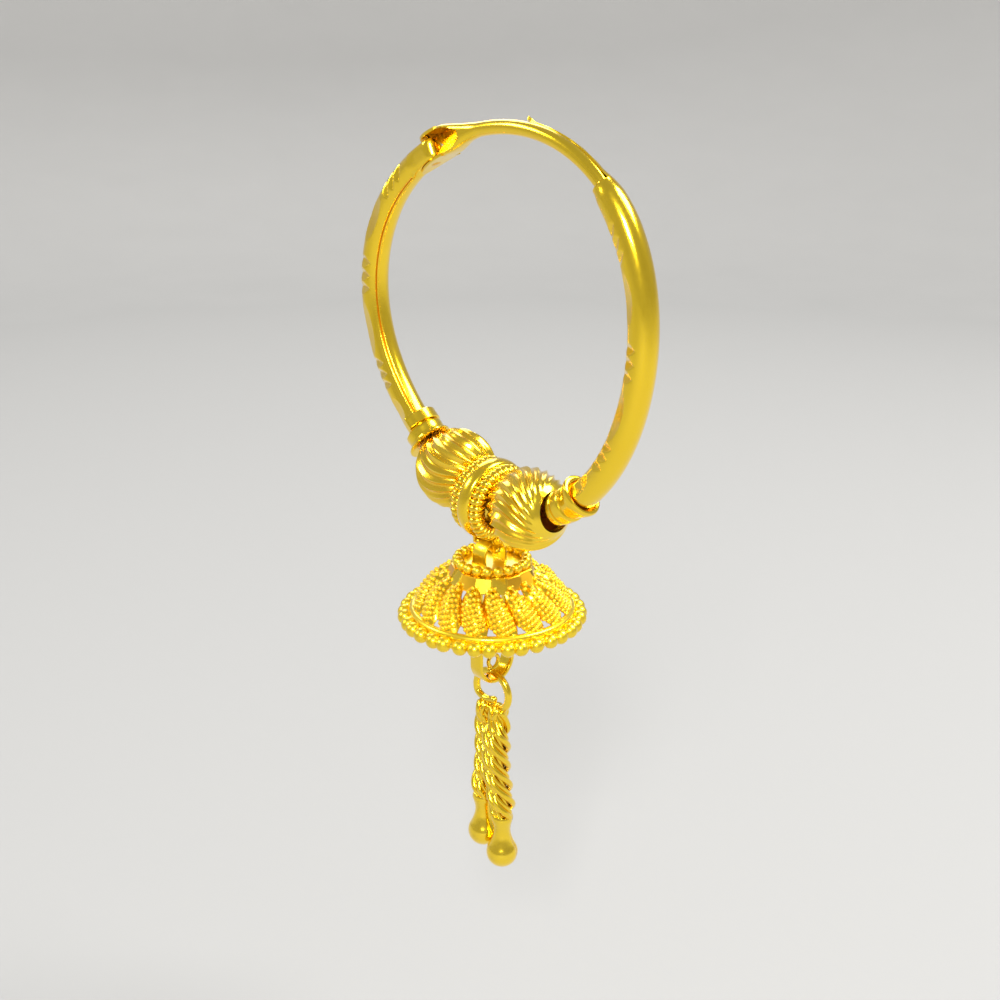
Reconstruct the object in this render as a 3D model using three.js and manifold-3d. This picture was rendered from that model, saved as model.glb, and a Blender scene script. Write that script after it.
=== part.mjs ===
// Hinged hoop earring in gold: a hollow hoop with an ear wire on a hinge, two fluted hollow
// beads and a disc on the hoop, and a bell-shaped drop with two short chain tassels below.
//
// Millimetres, +Z up, the hoop in the XZ plane with its front to -Y. The origin is the point
// of the ear wire that the ear lobe carries, straight above the bell.

import * as THREE from 'three';
import { mergeVertices } from 'three/addons/utils/BufferGeometryUtils.js';
import Module from 'manifold-3d';

const wasm = await Module();
wasm.setup();

// ---------------------------------------------------------------- driving dimensions
// Angles along the hoop are in degrees in its own plane: 0 to the right, 90 at the top.

const HOOP_RADIUS = 13.3; // mean radius of the hoop's centre line
const HOOP_BOW = 0.031; // the hand-bent hoop bows out in three places by this share
const HOOP_BOW_ANGLE = 53.9; // where the first of the three bows is
const HOOP_TURN = 4.5; // how far the hanging hoop is turned in its plane
const HANG_ANGLE = 98.2; // where the lobe carries the ear wire

const WIRE_RADIUS = 0.5;
const WIRE_TIP_ANGLE = 52.4;
const FORK_RADIAL = 1.13; // half size of the hinge fork, across the hoop's radius
const FORK_DEPTH = 0.97; // half size of the hinge fork, front to back
const FORK_END_ANGLE = 131.5;
const CHEEK_GAP = 0.88; // half the gap between the fork's two cheeks
const WEB_INNER_DEPTH = 0.72; // from the hoop's plane back to the fork's web
const WEB_END_ANGLE = 122.2;

const PIN_ANGLE = 126.5;
const PIN_RADIUS = 0.28;
const PIN_HALF_LENGTH = 1.2;
const CHEEK_HOLE_RADIUS = 0.3;
const KNUCKLE_HOLE_RADIUS = 0.31;
const KNUCKLE_RADIAL = 0.78; // half size of the knuckle, across the hoop's radius
const KNUCKLE_DEPTH = 0.85; // half size of the knuckle, and the radius of its nose

const TUBE_RADIUS = 1.03;
const TUBE_RADIUS_AT_HINGE = 0.88;
const TUBE_RADIUS_AT_MOUTH = 0.78;
const MOUTH_ANGLE = 52;
const BORE_END_ANGLE = 30;
const TONGUE_END_ANGLE = 84.5;
const CORE_RADIUS = 0.5; // the rod that the beads are threaded on

const BEAD_ANGLE = 17; // each bead's centre from the disc's
const BEAD_RADIUS = 3.05;
const BEAD_WALL = 0.25;
const BEAD_FLUTES = 22;
const FLUTE_DEPTH = 0.18;
// A flute's turn round its bead, in degrees, is the first of these times the latitude plus the
// second times its square.
const LEFT_FLUTE_CURVE = [-0.2, 0.007];
const RIGHT_FLUTE_CURVE = [0.45, 0.012];
const BEAD_OUTER_HOLE = 1.1;
const BEAD_INNER_HOLE = 0.8;
const BEAD_OFFSET = 0.17; // the straight bead sits this far inside the curved centre line

const LEFT_COLLAR_END = 239.3;
const RIGHT_COLLAR_END = 300.35;
const DISC_RADIUS = 3.08;
const DISC_HALF_THICKNESS = 0.45;
const DISC_BORE = 0.64;
const COIL_MAJOR = 2.5;
const COIL_MINOR = 0.36;
const COIL_OFFSET = 0.72;
const DISC_LEAN = 2.5; // the disc leans this much from square to the hoop's radius
const DISC_SHIFT = 0.1; // and sits this far to the right of the bottom
const COIL_TURNS = 24;
const EYE_BAR_RADIUS = 0.27;
const EYE_BAR_DROP = 3.9; // from the disc's centre down to the eye's bar
const EYE_HALF_WIDTH = 1.08;

const BELL_DROP = 35.51; // from the origin down to the plane of the rim granules
const RIM_GRANULES = 36;
const RIM_GRANULE_RADIUS = 0.57;
const RIM_RADIUS = 6.6;
const RING_RADIUS = 5.95;
const RING_HEIGHT = 0.35;
const CROWN_FACETS = 20;
const CROWN_HEIGHT = 3.75;
const CROWN_GRANULE_RADIUS = 0.36;
const CROWN_GRANULE_CIRCLE = 2.36;
const LEAVES = 16;
const LEAF_DEPTH = 0.5; // of the valleys between leaves
const DOME_WALL = 0.2; // thickness at the valleys
const LEAF_SLANT = -14.4; // degrees that a leaf leans round the bell
const LEAF_START = -4.6; // degrees that the first leaf begins from the right

const BAIL_WIDTH = 1.25;
const BAIL_SHIFT = -0.28; // the bail stands left of the bell's axis, under the eye's bar
const BAIL_GAP = 0.07; // between the eye's bar and the arch that rides on it
const BAIL_FOOT_WIDTH = 1.7;
const BAIL_HALF_SPAN = 1.05; // half its span front to back
const STRAP_THICKNESS = 0.28;
const HANGER_WIDTH = 1.0;
const HANGER_HALF_SPAN = 1.63;
const HANGER_BOTTOM = -5.62;

const RING_LINK_HALF_WIDTH = 1.76;
const RING_LINK_HALF_HEIGHT = 1.615;
const RING_LINK_WIRE = 0.29;
const RING_LINK_CENTRE = -6.695;
const STRAND_TOP = -7.75;
const STRAND_BOTTOM = -17.1;
const STRAND_RADIUS = 0.975;
const STRAND_LOBES = 4;
const STRAND_LEAD = -6.8; // height of one full turn of the rope, left-handed
const DROP_LENGTH = 4.8;
const LEFT_STRAND_SHORTER = 0.75;
const DROP_BALL_RADIUS = 1.25;

const GOLD = { roughness: 0.22, metalness: 1 };
const YELLOW_GOLD = new THREE.MeshStandardMaterial({ color: 0xe8b028, ...GOLD });
const PALE_GOLD = new THREE.MeshStandardMaterial({ color: 0xf0c040, ...GOLD });
const DEEP_GOLD = new THREE.MeshStandardMaterial({ color: 0xd99a1e, ...GOLD });

// ---------------------------------------------------------------- helpers

const radians = THREE.MathUtils.degToRad;
const lerp = THREE.MathUtils.lerp;
const vector = (x, y, z) => new THREE.Vector3(x, y, z);

// Value of a curve given as rows of [position, value], straight between the rows.
function along(rows, position) {
  const last = rows.length - 1;
  if (position <= rows[0][0]) return rows[0][1];
  if (position >= rows[last][0]) return rows[last][1];
  const next = rows.findIndex((row) => row[0] > position);
  const [p0, v0] = rows[next - 1];
  const [p1, v1] = rows[next];
  return lerp(v0, v1, (position - p0) / (p1 - p0));
}

// `count` + 1 positions from `start` to `end`.
function steps(start, end, count) {
  return Array.from({ length: count + 1 }, (_, i) => lerp(start, end, i / count));
}

function geometryFrom(points, triangles) {
  const geometry = new THREE.BufferGeometry();
  geometry.setAttribute('position', new THREE.Float32BufferAttribute(points.flatMap((p) => p.toArray()), 3));
  geometry.setIndex(triangles);
  return geometry;
}

// Six times the volume that the triangles enclose, negative if they face inwards.
function signedVolume(points, triangles) {
  let volume = 0;
  for (let i = 0; i < triangles.length; i += 3) {
    const [a, b, c] = [0, 1, 2].map((k) => points[triangles[i + k]]);
    volume += a.dot(b.clone().cross(c));
  }
  return volume;
}

// Closed surface through equal rings of points, with a fan at both ends, or joined end to end.
function loft(rings, joined = false) {
  const count = rings[0].length;
  const points = rings.flat();
  const triangles = [];
  const pairs = joined ? rings.length : rings.length - 1;
  for (let i = 0; i < pairs; i += 1) {
    const a = i * count;
    const b = ((i + 1) % rings.length) * count;
    for (let j = 0; j < count; j += 1) {
      const k = (j + 1) % count;
      triangles.push(a + j, a + k, b + k, a + j, b + k, b + j);
    }
  }
  if (!joined) {
    for (const [ring, flip] of [[0, true], [rings.length - 1, false]]) {
      const centre = rings[ring].reduce((sum, p) => sum.add(p), vector(0, 0, 0)).divideScalar(count);
      points.push(centre);
      for (let j = 0; j < count; j += 1) {
        const edge = [ring * count + j, ring * count + ((j + 1) % count)];
        triangles.push(...(flip ? edge.reverse() : edge), points.length - 1);
      }
    }
  }
  if (signedVolume(points, triangles) < 0) triangles.reverse();
  return geometryFrom(points, triangles);
}

function solid(geometry) {
  const bare = geometry.clone();
  for (const name of ['normal', 'uv']) bare.deleteAttribute(name);
  const merged = mergeVertices(bare, 1e-5);
  return new wasm.Manifold(new wasm.Mesh({
    numProp: 3,
    vertProperties: Float32Array.from(merged.attributes.position.array),
    triVerts: Uint32Array.from(merged.index.array),
  }));
}

function geometryOf(manifold) {
  const mesh = manifold.getMesh();
  const geometry = new THREE.BufferGeometry();
  geometry.setAttribute('position', new THREE.BufferAttribute(mesh.vertProperties, 3));
  geometry.setIndex(new THREE.BufferAttribute(mesh.triVerts, 1));
  return geometry;
}

const join = (geometries) => geometries.map(solid).reduce((whole, piece) => whole.add(piece));

function part(name, geometry, material, parent) {
  const mesh = new THREE.Mesh(geometry, material);
  mesh.name = name;
  parent.add(mesh);
  return mesh;
}

// ---------------------------------------------------------------- the hoop's centre line

function hoopPoint(angle, outwards = 0) {
  const bow = 1 + HOOP_BOW * Math.cos(radians(3 * (angle - HOOP_BOW_ANGLE)));
  const radius = HOOP_RADIUS * bow + outwards;
  return vector(Math.cos(radians(angle)) * radius, 0, Math.sin(radians(angle)) * radius);
}

// A place on the hoop with its directions: along the hoop, outwards, and to the front.
function hoopPlace(angle) {
  const tangent = hoopPoint(angle + 0.05).sub(hoopPoint(angle - 0.05)).normalize();
  return {
    point: hoopPoint(angle),
    tangent,
    outward: vector(tangent.z, 0, -tangent.x),
    front: vector(0, -1, 0),
  };
}

// The point beside the centre line, `out` outwards and `front` to the front.
function beside(place, out, front) {
  return place.point.clone().addScaledVector(place.outward, out).addScaledVector(place.front, front);
}

// Ring of points round the centre line; `radiusAt` takes the angle round it, 0 outwards.
function ringAt(angle, sides, radiusAt) {
  const place = hoopPlace(angle);
  return Array.from({ length: sides }, (_, j) => {
    const round = ((j + 0.5) / sides) * 2 * Math.PI;
    const radius = radiusAt(round);
    return beside(place, Math.cos(round) * radius, Math.sin(round) * radius);
  });
}

// Rectangle round the centre line between two outward and two front distances.
function boxAt(angle, out0, out1, front0, front1) {
  const place = hoopPlace(angle);
  return [[out0, front0], [out1, front0], [out1, front1], [out0, front1]]
    .map(([out, front]) => beside(place, out, front));
}

// Degrees along the hoop that a length takes.
const degreesFor = (length) => (length / HOOP_RADIUS) * (180 / Math.PI);

// Cylinder across the hoop's radius at the hinge pin.
function pinCylinder(radius, halfLength) {
  const place = hoopPlace(PIN_ANGLE);
  const cylinder = new THREE.CylinderGeometry(radius, radius, 2 * halfLength, 12);
  const turn = new THREE.Quaternion().setFromUnitVectors(vector(0, 1, 0), place.outward);
  cylinder.applyQuaternion(turn);
  return cylinder.translate(place.point.x, 0, place.point.z);
}

// ---------------------------------------------------------------- ear wire and its hinge

// Rounded box section: half sizes `out` and `front`, squareness 2 for an ellipse and up.
function roundedSection(angle, sides, out, front, squareness) {
  const place = hoopPlace(angle);
  return Array.from({ length: sides }, (_, j) => {
    const round = ((j + 0.5) / sides) * 2 * Math.PI;
    const power = (value) => Math.sign(value) * Math.abs(value) ** (2 / squareness);
    return beside(place, power(Math.cos(round)) * out, power(Math.sin(round)) * front);
  });
}

function earWire() {
  const outSizes = [[102, WIRE_RADIUS], [107.5, 0.62], [112.5, 0.86], [118, FORK_RADIAL]];
  const frontSizes = [[103, WIRE_RADIUS], [111, 0.72], [118, FORK_DEPTH], [127, FORK_DEPTH],
    [FORK_END_ANGLE, 0.55]];
  const squareness = [[104, 2], [118, 4.5]];
  const angles = [...steps(WIRE_TIP_ANGLE, 102, 11), 105, 108, 111, 114, 117, 120, 124, 127, 129.5,
    FORK_END_ANGLE];
  const wire = solid(loft(angles.map((angle) => roundedSection(
    angle, 12, along(outSizes, angle), along(frontSizes, angle), along(squareness, angle)))));
  const scoopWidth = [[113.5, 0.3], [117.5, 0.82], [119, CHEEK_GAP]];
  const scoopDepth = [[113.5, 0.2], [119, WEB_INNER_DEPTH]];
  const scoop = loft([113.5, 115.5, 117.5, 119, 122, 125, 129, 134].map((angle) => {
    const width = along(scoopWidth, angle);
    return boxAt(angle, -width, width, -along(scoopDepth, angle), 2);
  }));
  const open = loft([WEB_END_ANGLE, 126, 130, 134]
    .map((angle) => boxAt(angle, -CHEEK_GAP, CHEEK_GAP, -2, 2)));
  return wire.subtract(solid(scoop)).subtract(solid(open)).subtract(solid(pinCylinder(CHEEK_HOLE_RADIUS, 2)));
}

// ---------------------------------------------------------------- hoop frame

// Radius of the collar round the tube; `toBead` is the distance from its end face.
function collarRadius(toBead, round) {
  const towardsInside = 0.5 - 0.5 * Math.cos(round);
  if (toBead < 0.35) return 1.55;
  if (toBead < 1.2) return lerp(1.4, 1.45, towardsInside);
  if (toBead < 1.35) return 1.2;
  return towardsInside > 0.45 ? 1.32 : 1.06;
}

function hoopFrame() {
  const sides = 12;
  const leftEnd = LEFT_COLLAR_END;
  const rightEnd = RIGHT_COLLAR_END;
  const collarSteps = [2.5, 1.35, 1.35, 1.2, 1.2, 0.35, 0.35, 0];
  const collarSides = [2.5, 1.351, 1.349, 1.201, 1.199, 0.351, 0.349, 0];
  const rings = [];

  // Knuckle: a flat-sided block whose nose is round about the pin.
  for (const back of [-0.97, -0.8, -0.5, 0, 0.8, 1.3]) {
    const angle = PIN_ANGLE + degreesFor(back * KNUCKLE_DEPTH);
    const depth = back < 0 ? KNUCKLE_DEPTH * Math.sqrt(1 - back * back) : KNUCKLE_DEPTH;
    rings.push(roundedSection(angle, sides, KNUCKLE_RADIAL, depth, 3.6));
  }

  const tubeRadius = [[135, TUBE_RADIUS_AT_HINGE], [149, 0.94], [165, TUBE_RADIUS], [398, TUBE_RADIUS],
    [404, 1.0], [408, 0.95], [360 + MOUTH_ANGLE, TUBE_RADIUS_AT_MOUTH]];
  const round = (angle) => {
    const radius = along(tubeRadius, angle);
    return roundedSection(angle, sides, radius, radius, 2);
  };
  const collarStart = degreesFor(collarSteps[0]);
  steps(135.2, leftEnd - collarStart, 14).forEach((angle) => rings.push(round(angle)));

  const collarRing = (angle, toBead) => ringAt(angle, sides, (turn) => collarRadius(toBead, turn));
  collarSteps.forEach((toBead, i) => rings.push(collarRing(leftEnd - degreesFor(toBead), collarSides[i])));
  const core = (angle) => ringAt(angle, sides, () => CORE_RADIUS);
  steps(leftEnd, rightEnd, 7).forEach((angle) => rings.push(core(angle)));
  [...collarSteps].reverse().forEach((toBead, i) => {
    rings.push(collarRing(rightEnd + degreesFor(toBead), collarSides[collarSides.length - 1 - i]));
  });
  steps(rightEnd + collarStart, 396, 11).forEach((angle) => rings.push(round(angle)));
  [400, 404, 408, 360 + MOUTH_ANGLE].forEach((angle) => rings.push(round(angle)));

  // Thin tongue from the mouth along the wire's outer back side, its end curled outwards.
  const tongueHeight = [[47, 0.8], [51, 0.72], [56, 0.58], [81, 0.56], [TONGUE_END_ANGLE, 0.8]];
  const tongueSpread = [[47, 40], [60, 32], [TONGUE_END_ANGLE, 16]];
  const tongue = loft([47, 51, 54, 58, 63, 68, 73, 78, 81, 83, TONGUE_END_ANGLE].map((angle) => {
    const place = hoopPlace(angle);
    const inner = along(tongueHeight, angle);
    const spread = along(tongueSpread, angle);
    const turns = [-1, 0, 1].map((side) => radians(-45 + side * spread));
    const at = (turn, radius) => beside(place, Math.cos(turn) * radius, Math.sin(turn) * radius);
    return [...turns.map((turn) => at(turn, inner)), ...turns.reverse().map((turn) => at(turn, inner + 0.2))];
  }));

  const bore = loft([360 + MOUTH_ANGLE + 1, 360 + MOUTH_ANGLE, 407, 401, 396, 390, 360 + BORE_END_ANGLE + 3,
    360 + BORE_END_ANGLE].map((angle) => ringAt(angle, 12, () => along(tubeRadius, angle) - 0.17)));
  return solid(loft(rings)).subtract(solid(bore)).add(solid(tongue))
    .subtract(solid(pinCylinder(KNUCKLE_HOLE_RADIUS, 2)));
}

// ---------------------------------------------------------------- fluted beads

// Hollow fluted ball on the Z axis, its smooth cap and larger hole at +Z.
function flutedBead([lean, bend]) {
  const around = BEAD_FLUTES * 2;
  const edge = (hole) => THREE.MathUtils.radToDeg(Math.acos(hole / BEAD_RADIUS));
  const [low, high] = [-edge(BEAD_INNER_HOLE), edge(BEAD_OUTER_HOLE)];
  const curve = (latitude) => lean * latitude + bend * latitude ** 2;
  const straight = (latitude) => lerp(curve(low), curve(high), (latitude - low) / (high - low));
  const ringOf = (latitude, base, depth, leaning) => Array.from({ length: around }, (_, j) => {
    const turn = (j / around) * 2 * Math.PI + radians(leaning);
    const radius = base - (j % 2) * depth;
    const across = Math.cos(radians(latitude)) * radius;
    return vector(Math.cos(turn) * across, Math.sin(turn) * across, Math.sin(radians(latitude)) * radius);
  });
  const outside = [low, -56, -30, 0, 30, 54, high];
  const fade = [[low, 0.4], [-56, 1], [30, 1], [54, 0.1], [high, 0]];
  const inside = [high - 0.5, 30, -30, low + 0.5];
  return loft([
    ...outside.map((at) => ringOf(at, BEAD_RADIUS, FLUTE_DEPTH * along(fade, at), curve(at))),
    ...inside.map((at) => ringOf(at, BEAD_RADIUS - BEAD_WALL, 0, straight(at))),
  ], true);
}

// ---------------------------------------------------------------- disc between the beads

// A disc with a ring of coiled wire on either face. Built round the Z axis, with its eye to
// +Y; set on the hoop with Z along the hoop and X to the front.
function centreDisc() {
  const around = COIL_TURNS * 2;
  const half = DISC_HALF_THICKNESS;
  const coil = (side, minor) => [180, 90, 0].map((turn) => [
    COIL_MAJOR + Math.cos(radians(turn)) * minor,
    side * (COIL_OFFSET + Math.sin(radians(turn)) * minor),
  ]);
  const disc = loft(Array.from({ length: around }, (_, i) => {
    const turn = (i / around) * 2 * Math.PI;
    const minor = COIL_MINOR - (i % 2) * 0.1;
    const front = [[DISC_BORE, half - 0.05], [COIL_MAJOR - 0.4, half - 0.05], ...coil(1, minor),
      [COIL_MAJOR + 0.4, half], [DISC_RADIUS, 0.17]];
    const back = front.map(([radius, z]) => [radius, -z]).reverse();
    return [...front, ...back]
      .map(([radius, z]) => vector(Math.cos(turn) * radius, Math.sin(turn) * radius, z));
  }), true);
  const legSection = (y, side, width) => [[-width, -0.13], [width, -0.13], [width, 0.13], [-width, 0.13]]
    .map(([x, z]) => vector(x, y, side * EYE_HALF_WIDTH + z));
  const leg = (side) => loft([[2.35, 0.5], [2.75, 0.56], [3.3, 0.46], [EYE_BAR_DROP + 0.1, 0.3]]
    .map(([y, width]) => legSection(y, side, width)));
  const bar = new THREE.CylinderGeometry(EYE_BAR_RADIUS, EYE_BAR_RADIUS, 2 * EYE_HALF_WIDTH + 0.2, 10)
    .rotateX(Math.PI / 2).translate(0, EYE_BAR_DROP, 0);
  return join([disc, leg(1), leg(-1), bar]);
}

// ---------------------------------------------------------------- bell

// Strip of metal along points in the YZ plane, `widthAt` wide along X at each of them.
function strap(points, widthAt) {
  return loft(points.map((point, i) => {
    const before = points[Math.max(i - 1, 0)];
    const after = points[Math.min(i + 1, points.length - 1)];
    const heading = after.clone().sub(before).normalize();
    const side = vector(0, -heading.z, heading.y).multiplyScalar(STRAP_THICKNESS / 2);
    const half = widthAt(i) / 2;
    return [[-half, 1], [half, 1], [half, -1], [-half, -1]]
      .map(([x, s]) => point.clone().add(vector(x, 0, 0)).addScaledVector(side, s));
  }));
}

// A point of the dome: `up` goes from its rim to its crown, `depth` inwards from its ridges.
function domePoint(turn, up, depth) {
  const outline = [[0, 6.05, 0.42], [0.2, 5.82, 1.1], [0.4, 5.47, 1.78], [0.6, 4.98, 2.42],
    [0.8, 4.32, 3.0], [1, 3.2, 3.42]];
  const radii = outline.map(([at, radius]) => [at, radius]);
  const heights = outline.map(([at, , height]) => [at, height]);
  const rise = along(heights, up + 0.1) - along(heights, up - 0.1);
  const run = along(radii, up - 0.1) - along(radii, up + 0.1);
  const slope = Math.hypot(rise, run);
  const across = along(radii, up) - (depth * rise) / slope;
  const angle = radians(turn + LEAF_START + LEAF_SLANT * (up - 0.5));
  const height = along(heights, up) - (depth * run) / slope;
  return vector(Math.cos(angle) * across, Math.sin(angle) * across, height);
}

// Dome of leaves that lean round the bell, with a valley between neighbours and a small
// triangular opening cut through at either end of each valley.
function dome() {
  const leafWidth = 360 / LEAVES;
  const section = [[0, LEAF_DEPTH], [0.33, 0.04], [0.7, 0.06]];
  const outside = [0, 0.25, 0.5, 0.75, 1];
  const inside = [1, 0.5, 0];
  const ringOf = (up, depthAt) => Array.from({ length: LEAVES * section.length }, (_, j) => {
    const [place, depth] = section[j % section.length];
    return domePoint((Math.floor(j / section.length) + place) * leafWidth, up, depthAt(depth));
  });
  const shell = loft([
    ...outside.map((up) => ringOf(up, (depth) => depth)),
    ...inside.map((up) => ringOf(up, () => DOME_WALL + LEAF_DEPTH)),
  ], true);
  const opening = (valley, base, apex) => {
    const triangle = (depth) => [[-3.1, base], [3.1, base], [0, apex]]
      .map(([side, up]) => domePoint(valley * leafWidth + side, up, depth));
    return loft([triangle(-0.4), triangle(1.4)]);
  };
  let pierced = solid(shell);
  for (let valley = 0; valley < LEAVES; valley += 1) {
    pierced = pierced.subtract(solid(opening(valley, 0.05, 0.24)))
      .subtract(solid(opening(valley, 0.93, 0.8)));
  }
  return geometryOf(pierced);
}

// Points of a granule's outline, seen along the ring that it sits in, from one angle to another.
function granuleOutline(circle, height, radius, start, end, count) {
  return steps(start, end, count).map((turn) => [
    circle + Math.cos(radians(turn)) * radius,
    height + Math.sin(radians(turn)) * radius,
  ]);
}

// Rings of points round the Z axis through a profile, one profile for each place round it.
function revolve(count, profileAt) {
  return Array.from({ length: count }, (_, i) => {
    const turn = (i / count) * 2 * Math.PI;
    return profileAt(i)
      .map(([radius, height]) => vector(Math.cos(turn) * radius, Math.sin(turn) * radius, height));
  });
}

// Brim with the polished ring on its inner edge and the rim's granules on its outer edge.
function brim() {
  return loft(revolve(RIM_GRANULES * 2, (i) => {
    const swell = RIM_GRANULE_RADIUS * (i % 2 ? 0.5 : 1.04);
    return [[5.6, -0.14], ...granuleOutline(RIM_RADIUS, 0, swell, -115, 115, 4),
      [RING_RADIUS + 0.17, RING_HEIGHT - 0.05], [RING_RADIUS + 0.1, RING_HEIGHT + 0.18],
      [RING_RADIUS - 0.15, RING_HEIGHT + 0.18], [5.6, 0.3]];
  }), true);
}

// Crown: a faceted mirror band round a plate, with a ring of granules on the plate.
function crown() {
  const profileAt = (i) => {
    const facet = i % 2 ? Math.cos(Math.PI / CROWN_FACETS) : 1;
    const swell = CROWN_GRANULE_RADIUS * (i % 2 ? 1.04 : 0.5);
    const band = [[2.75, CROWN_HEIGHT - 0.3], [3.0, 2.9], [3.34, 2.98], [2.93, 4.08], [2.82, 4.08]];
    return [...band.map(([radius, height]) => [radius * facet, height]), [2.76 * facet, CROWN_HEIGHT + 0.08],
      ...granuleOutline(CROWN_GRANULE_CIRCLE, CROWN_HEIGHT + 0.29, swell, 0, 180, 2), [1.98, CROWN_HEIGHT]];
  };
  const places = revolve(CROWN_FACETS * 2, profileAt);
  return loft(profileAt(0).map((_, row) => places.map((place) => place[row])));
}

// The bell hangs round the Z axis with the plane of its rim granules at zero.
function bell(barHeight, barOffset) {
  // The bail stands on the crown: two feet front and back, and an arch over the eye's bar.
  const archTop = barHeight + EYE_BAR_RADIUS + BAIL_GAP + STRAP_THICKNESS / 2;
  const archCentre = archTop - BAIL_HALF_SPAN;
  const bailPath = [vector(barOffset, -BAIL_HALF_SPAN, 3.6)];
  steps(180, 0, 8).forEach((turn) => bailPath.push(vector(barOffset,
    Math.cos(radians(turn)) * BAIL_HALF_SPAN, archCentre + Math.sin(radians(turn)) * BAIL_HALF_SPAN)));
  bailPath.push(vector(barOffset, BAIL_HALF_SPAN, 3.6));
  const footRows = [0, bailPath.length - 1];
  const bail = strap(bailPath, (i) => (footRows.includes(i) ? BAIL_FOOT_WIDTH : BAIL_WIDTH));

  // The hanger drops from inside the crown and turns up again, for the tassels' ring.
  const span = HANGER_HALF_SPAN;
  const hangerPath = [vector(0, -span, 3.6), vector(0, -span, 0), vector(0, -span, HANGER_BOTTOM + 2.2)];
  steps(205, 335, 8).forEach((turn) => hangerPath.push(vector(0, Math.cos(radians(turn)) * span,
    HANGER_BOTTOM + span + Math.sin(radians(turn)) * span)));
  hangerPath.push(vector(0, span, HANGER_BOTTOM + 2.2), vector(0, span, 0), vector(0, span, 3.6));
  const hanger = strap(hangerPath, () => HANGER_WIDTH);
  return join([crown(), brim(), dome(), bail, hanger]);
}

// ---------------------------------------------------------------- ring, strands and end drops

// Wire round an oval in the XZ plane, from one angle to another; `inwardsAt` moves it inwards.
function ovalWire(start, end, count, wire, inwardsAt) {
  return loft(steps(start, end, count).map((turn) => {
    const [c, s] = [Math.cos(radians(turn)), Math.sin(radians(turn))];
    const inwards = inwardsAt(turn);
    const centre = vector(c * (RING_LINK_HALF_WIDTH - inwards), 0,
      RING_LINK_CENTRE + s * (RING_LINK_HALF_HEIGHT - inwards));
    return Array.from({ length: 7 }, (_, j) => {
      const round = ((j + 0.5) / 7) * 2 * Math.PI;
      const out = Math.cos(round) * wire;
      return centre.clone().add(vector(c * out, Math.sin(round) * wire, s * out));
    });
  }));
}

// Ring whose cut ends pass each other at the lower left.
function ringLink() {
  return ovalWire(222, 606, 24, RING_LINK_WIRE, (turn) => along([[535, 0], [572, 0.66], [606, 0.68]], turn));
}

// Middle of a strand at a height; `side` is +1 for the right strand and -1 for the left.
function strandMiddle(height, side) {
  const x = along([[STRAND_BOTTOM, 1.22], [-12.5, 0.94], [-10, 0.94], [-8.8, 0.68]], height);
  const y = along([[STRAND_BOTTOM, -0.15], [-12.5, -0.44], [-10, -0.44], [-8.7, 0]], height);
  return vector(side * x, side * y, height);
}

const strandEnd = (side) => (side > 0 ? STRAND_BOTTOM : STRAND_BOTTOM + LEFT_STRAND_SHORTER);

// Rope-like strand: a lobed section that turns as it goes down, its top link round the ring.
function strand(side) {
  const points = 2 * STRAND_LOBES;
  const widths = [[-9.9, 1], [-8.7, 0.64], [-7.95, 0.6], [STRAND_TOP, 0.42]];
  const rope = loft(steps(STRAND_TOP, strandEnd(side), 22).map((height) => {
    const width = STRAND_RADIUS * along(widths, height);
    const middle = strandMiddle(height, side);
    const turned = (height / STRAND_LEAD) * 2 * Math.PI;
    return Array.from({ length: points }, (_, j) => {
      const round = (j / points) * 2 * Math.PI;
      const radius = width * (j % 2 ? 0.78 : 1);
      const out = vector(Math.cos(round + turned), Math.sin(round + turned), 0);
      return middle.clone().addScaledVector(out, radius);
    });
  }));
  return geometryOf(solid(rope).subtract(solid(ovalWire(230, 310, 8, RING_LINK_WIRE + 0.04, () => 0))));
}

// Pear-shaped end: a cap that holds the strand, a neck and a ball.
function endDrop(side) {
  const top = strandEnd(side) - 0.05;
  const ball = top + 0.05 - DROP_LENGTH + DROP_BALL_RADIUS;
  const profile = [[0, top], [0.62, top], [0.74, top - 0.22], [0.7, top - 1.1], [0.78, top - 1.8],
    [1.06, ball + 0.64], [DROP_BALL_RADIUS, ball], [1.06, ball - 0.66], [0.6, ball - 1.09],
    [0, ball - DROP_BALL_RADIUS]];
  const middle = strandMiddle(STRAND_BOTTOM, side);
  return new THREE.LatheGeometry(profile.map(([r, h]) => new THREE.Vector2(r, h)).reverse(), 12)
    .rotateX(Math.PI / 2).translate(middle.x, middle.y, 0);
}

// ---------------------------------------------------------------- assembly

// The hoop hangs a little turned in its own plane, and the bell hangs plumb below it.
const hoop = new THREE.Group();
hoop.rotation.y = radians(HOOP_TURN);
const hang = hoopPoint(HANG_ANGLE).applyAxisAngle(vector(0, 1, 0), radians(HOOP_TURN));
hoop.position.copy(hang).negate();

part('ear_wire', geometryOf(earWire()), YELLOW_GOLD, hoop);
part('hinge_pin', pinCylinder(PIN_RADIUS, PIN_HALF_LENGTH), DEEP_GOLD, hoop);
part('hoop_frame', geometryOf(hoopFrame()), YELLOW_GOLD, hoop);

// Place a piece built round the Z axis on the hoop, with Z along the hoop and X to the front.
function setOnHoop(mesh, angle, direction, outwards) {
  const place = hoopPlace(angle);
  const z = place.tangent.clone().multiplyScalar(direction);
  const x = place.front;
  const y = z.clone().cross(x);
  mesh.quaternion.setFromRotationMatrix(new THREE.Matrix4().makeBasis(x, y, z));
  mesh.position.copy(beside(place, outwards, 0));
}

const beadLeft = part('bead_left', flutedBead(LEFT_FLUTE_CURVE), PALE_GOLD, hoop);
const beadRight = part('bead_right', flutedBead(RIGHT_FLUTE_CURVE), PALE_GOLD, hoop);
setOnHoop(beadLeft, 270 - BEAD_ANGLE, -1, -BEAD_OFFSET);
setOnHoop(beadRight, 270 + BEAD_ANGLE, 1, -BEAD_OFFSET);
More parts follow.
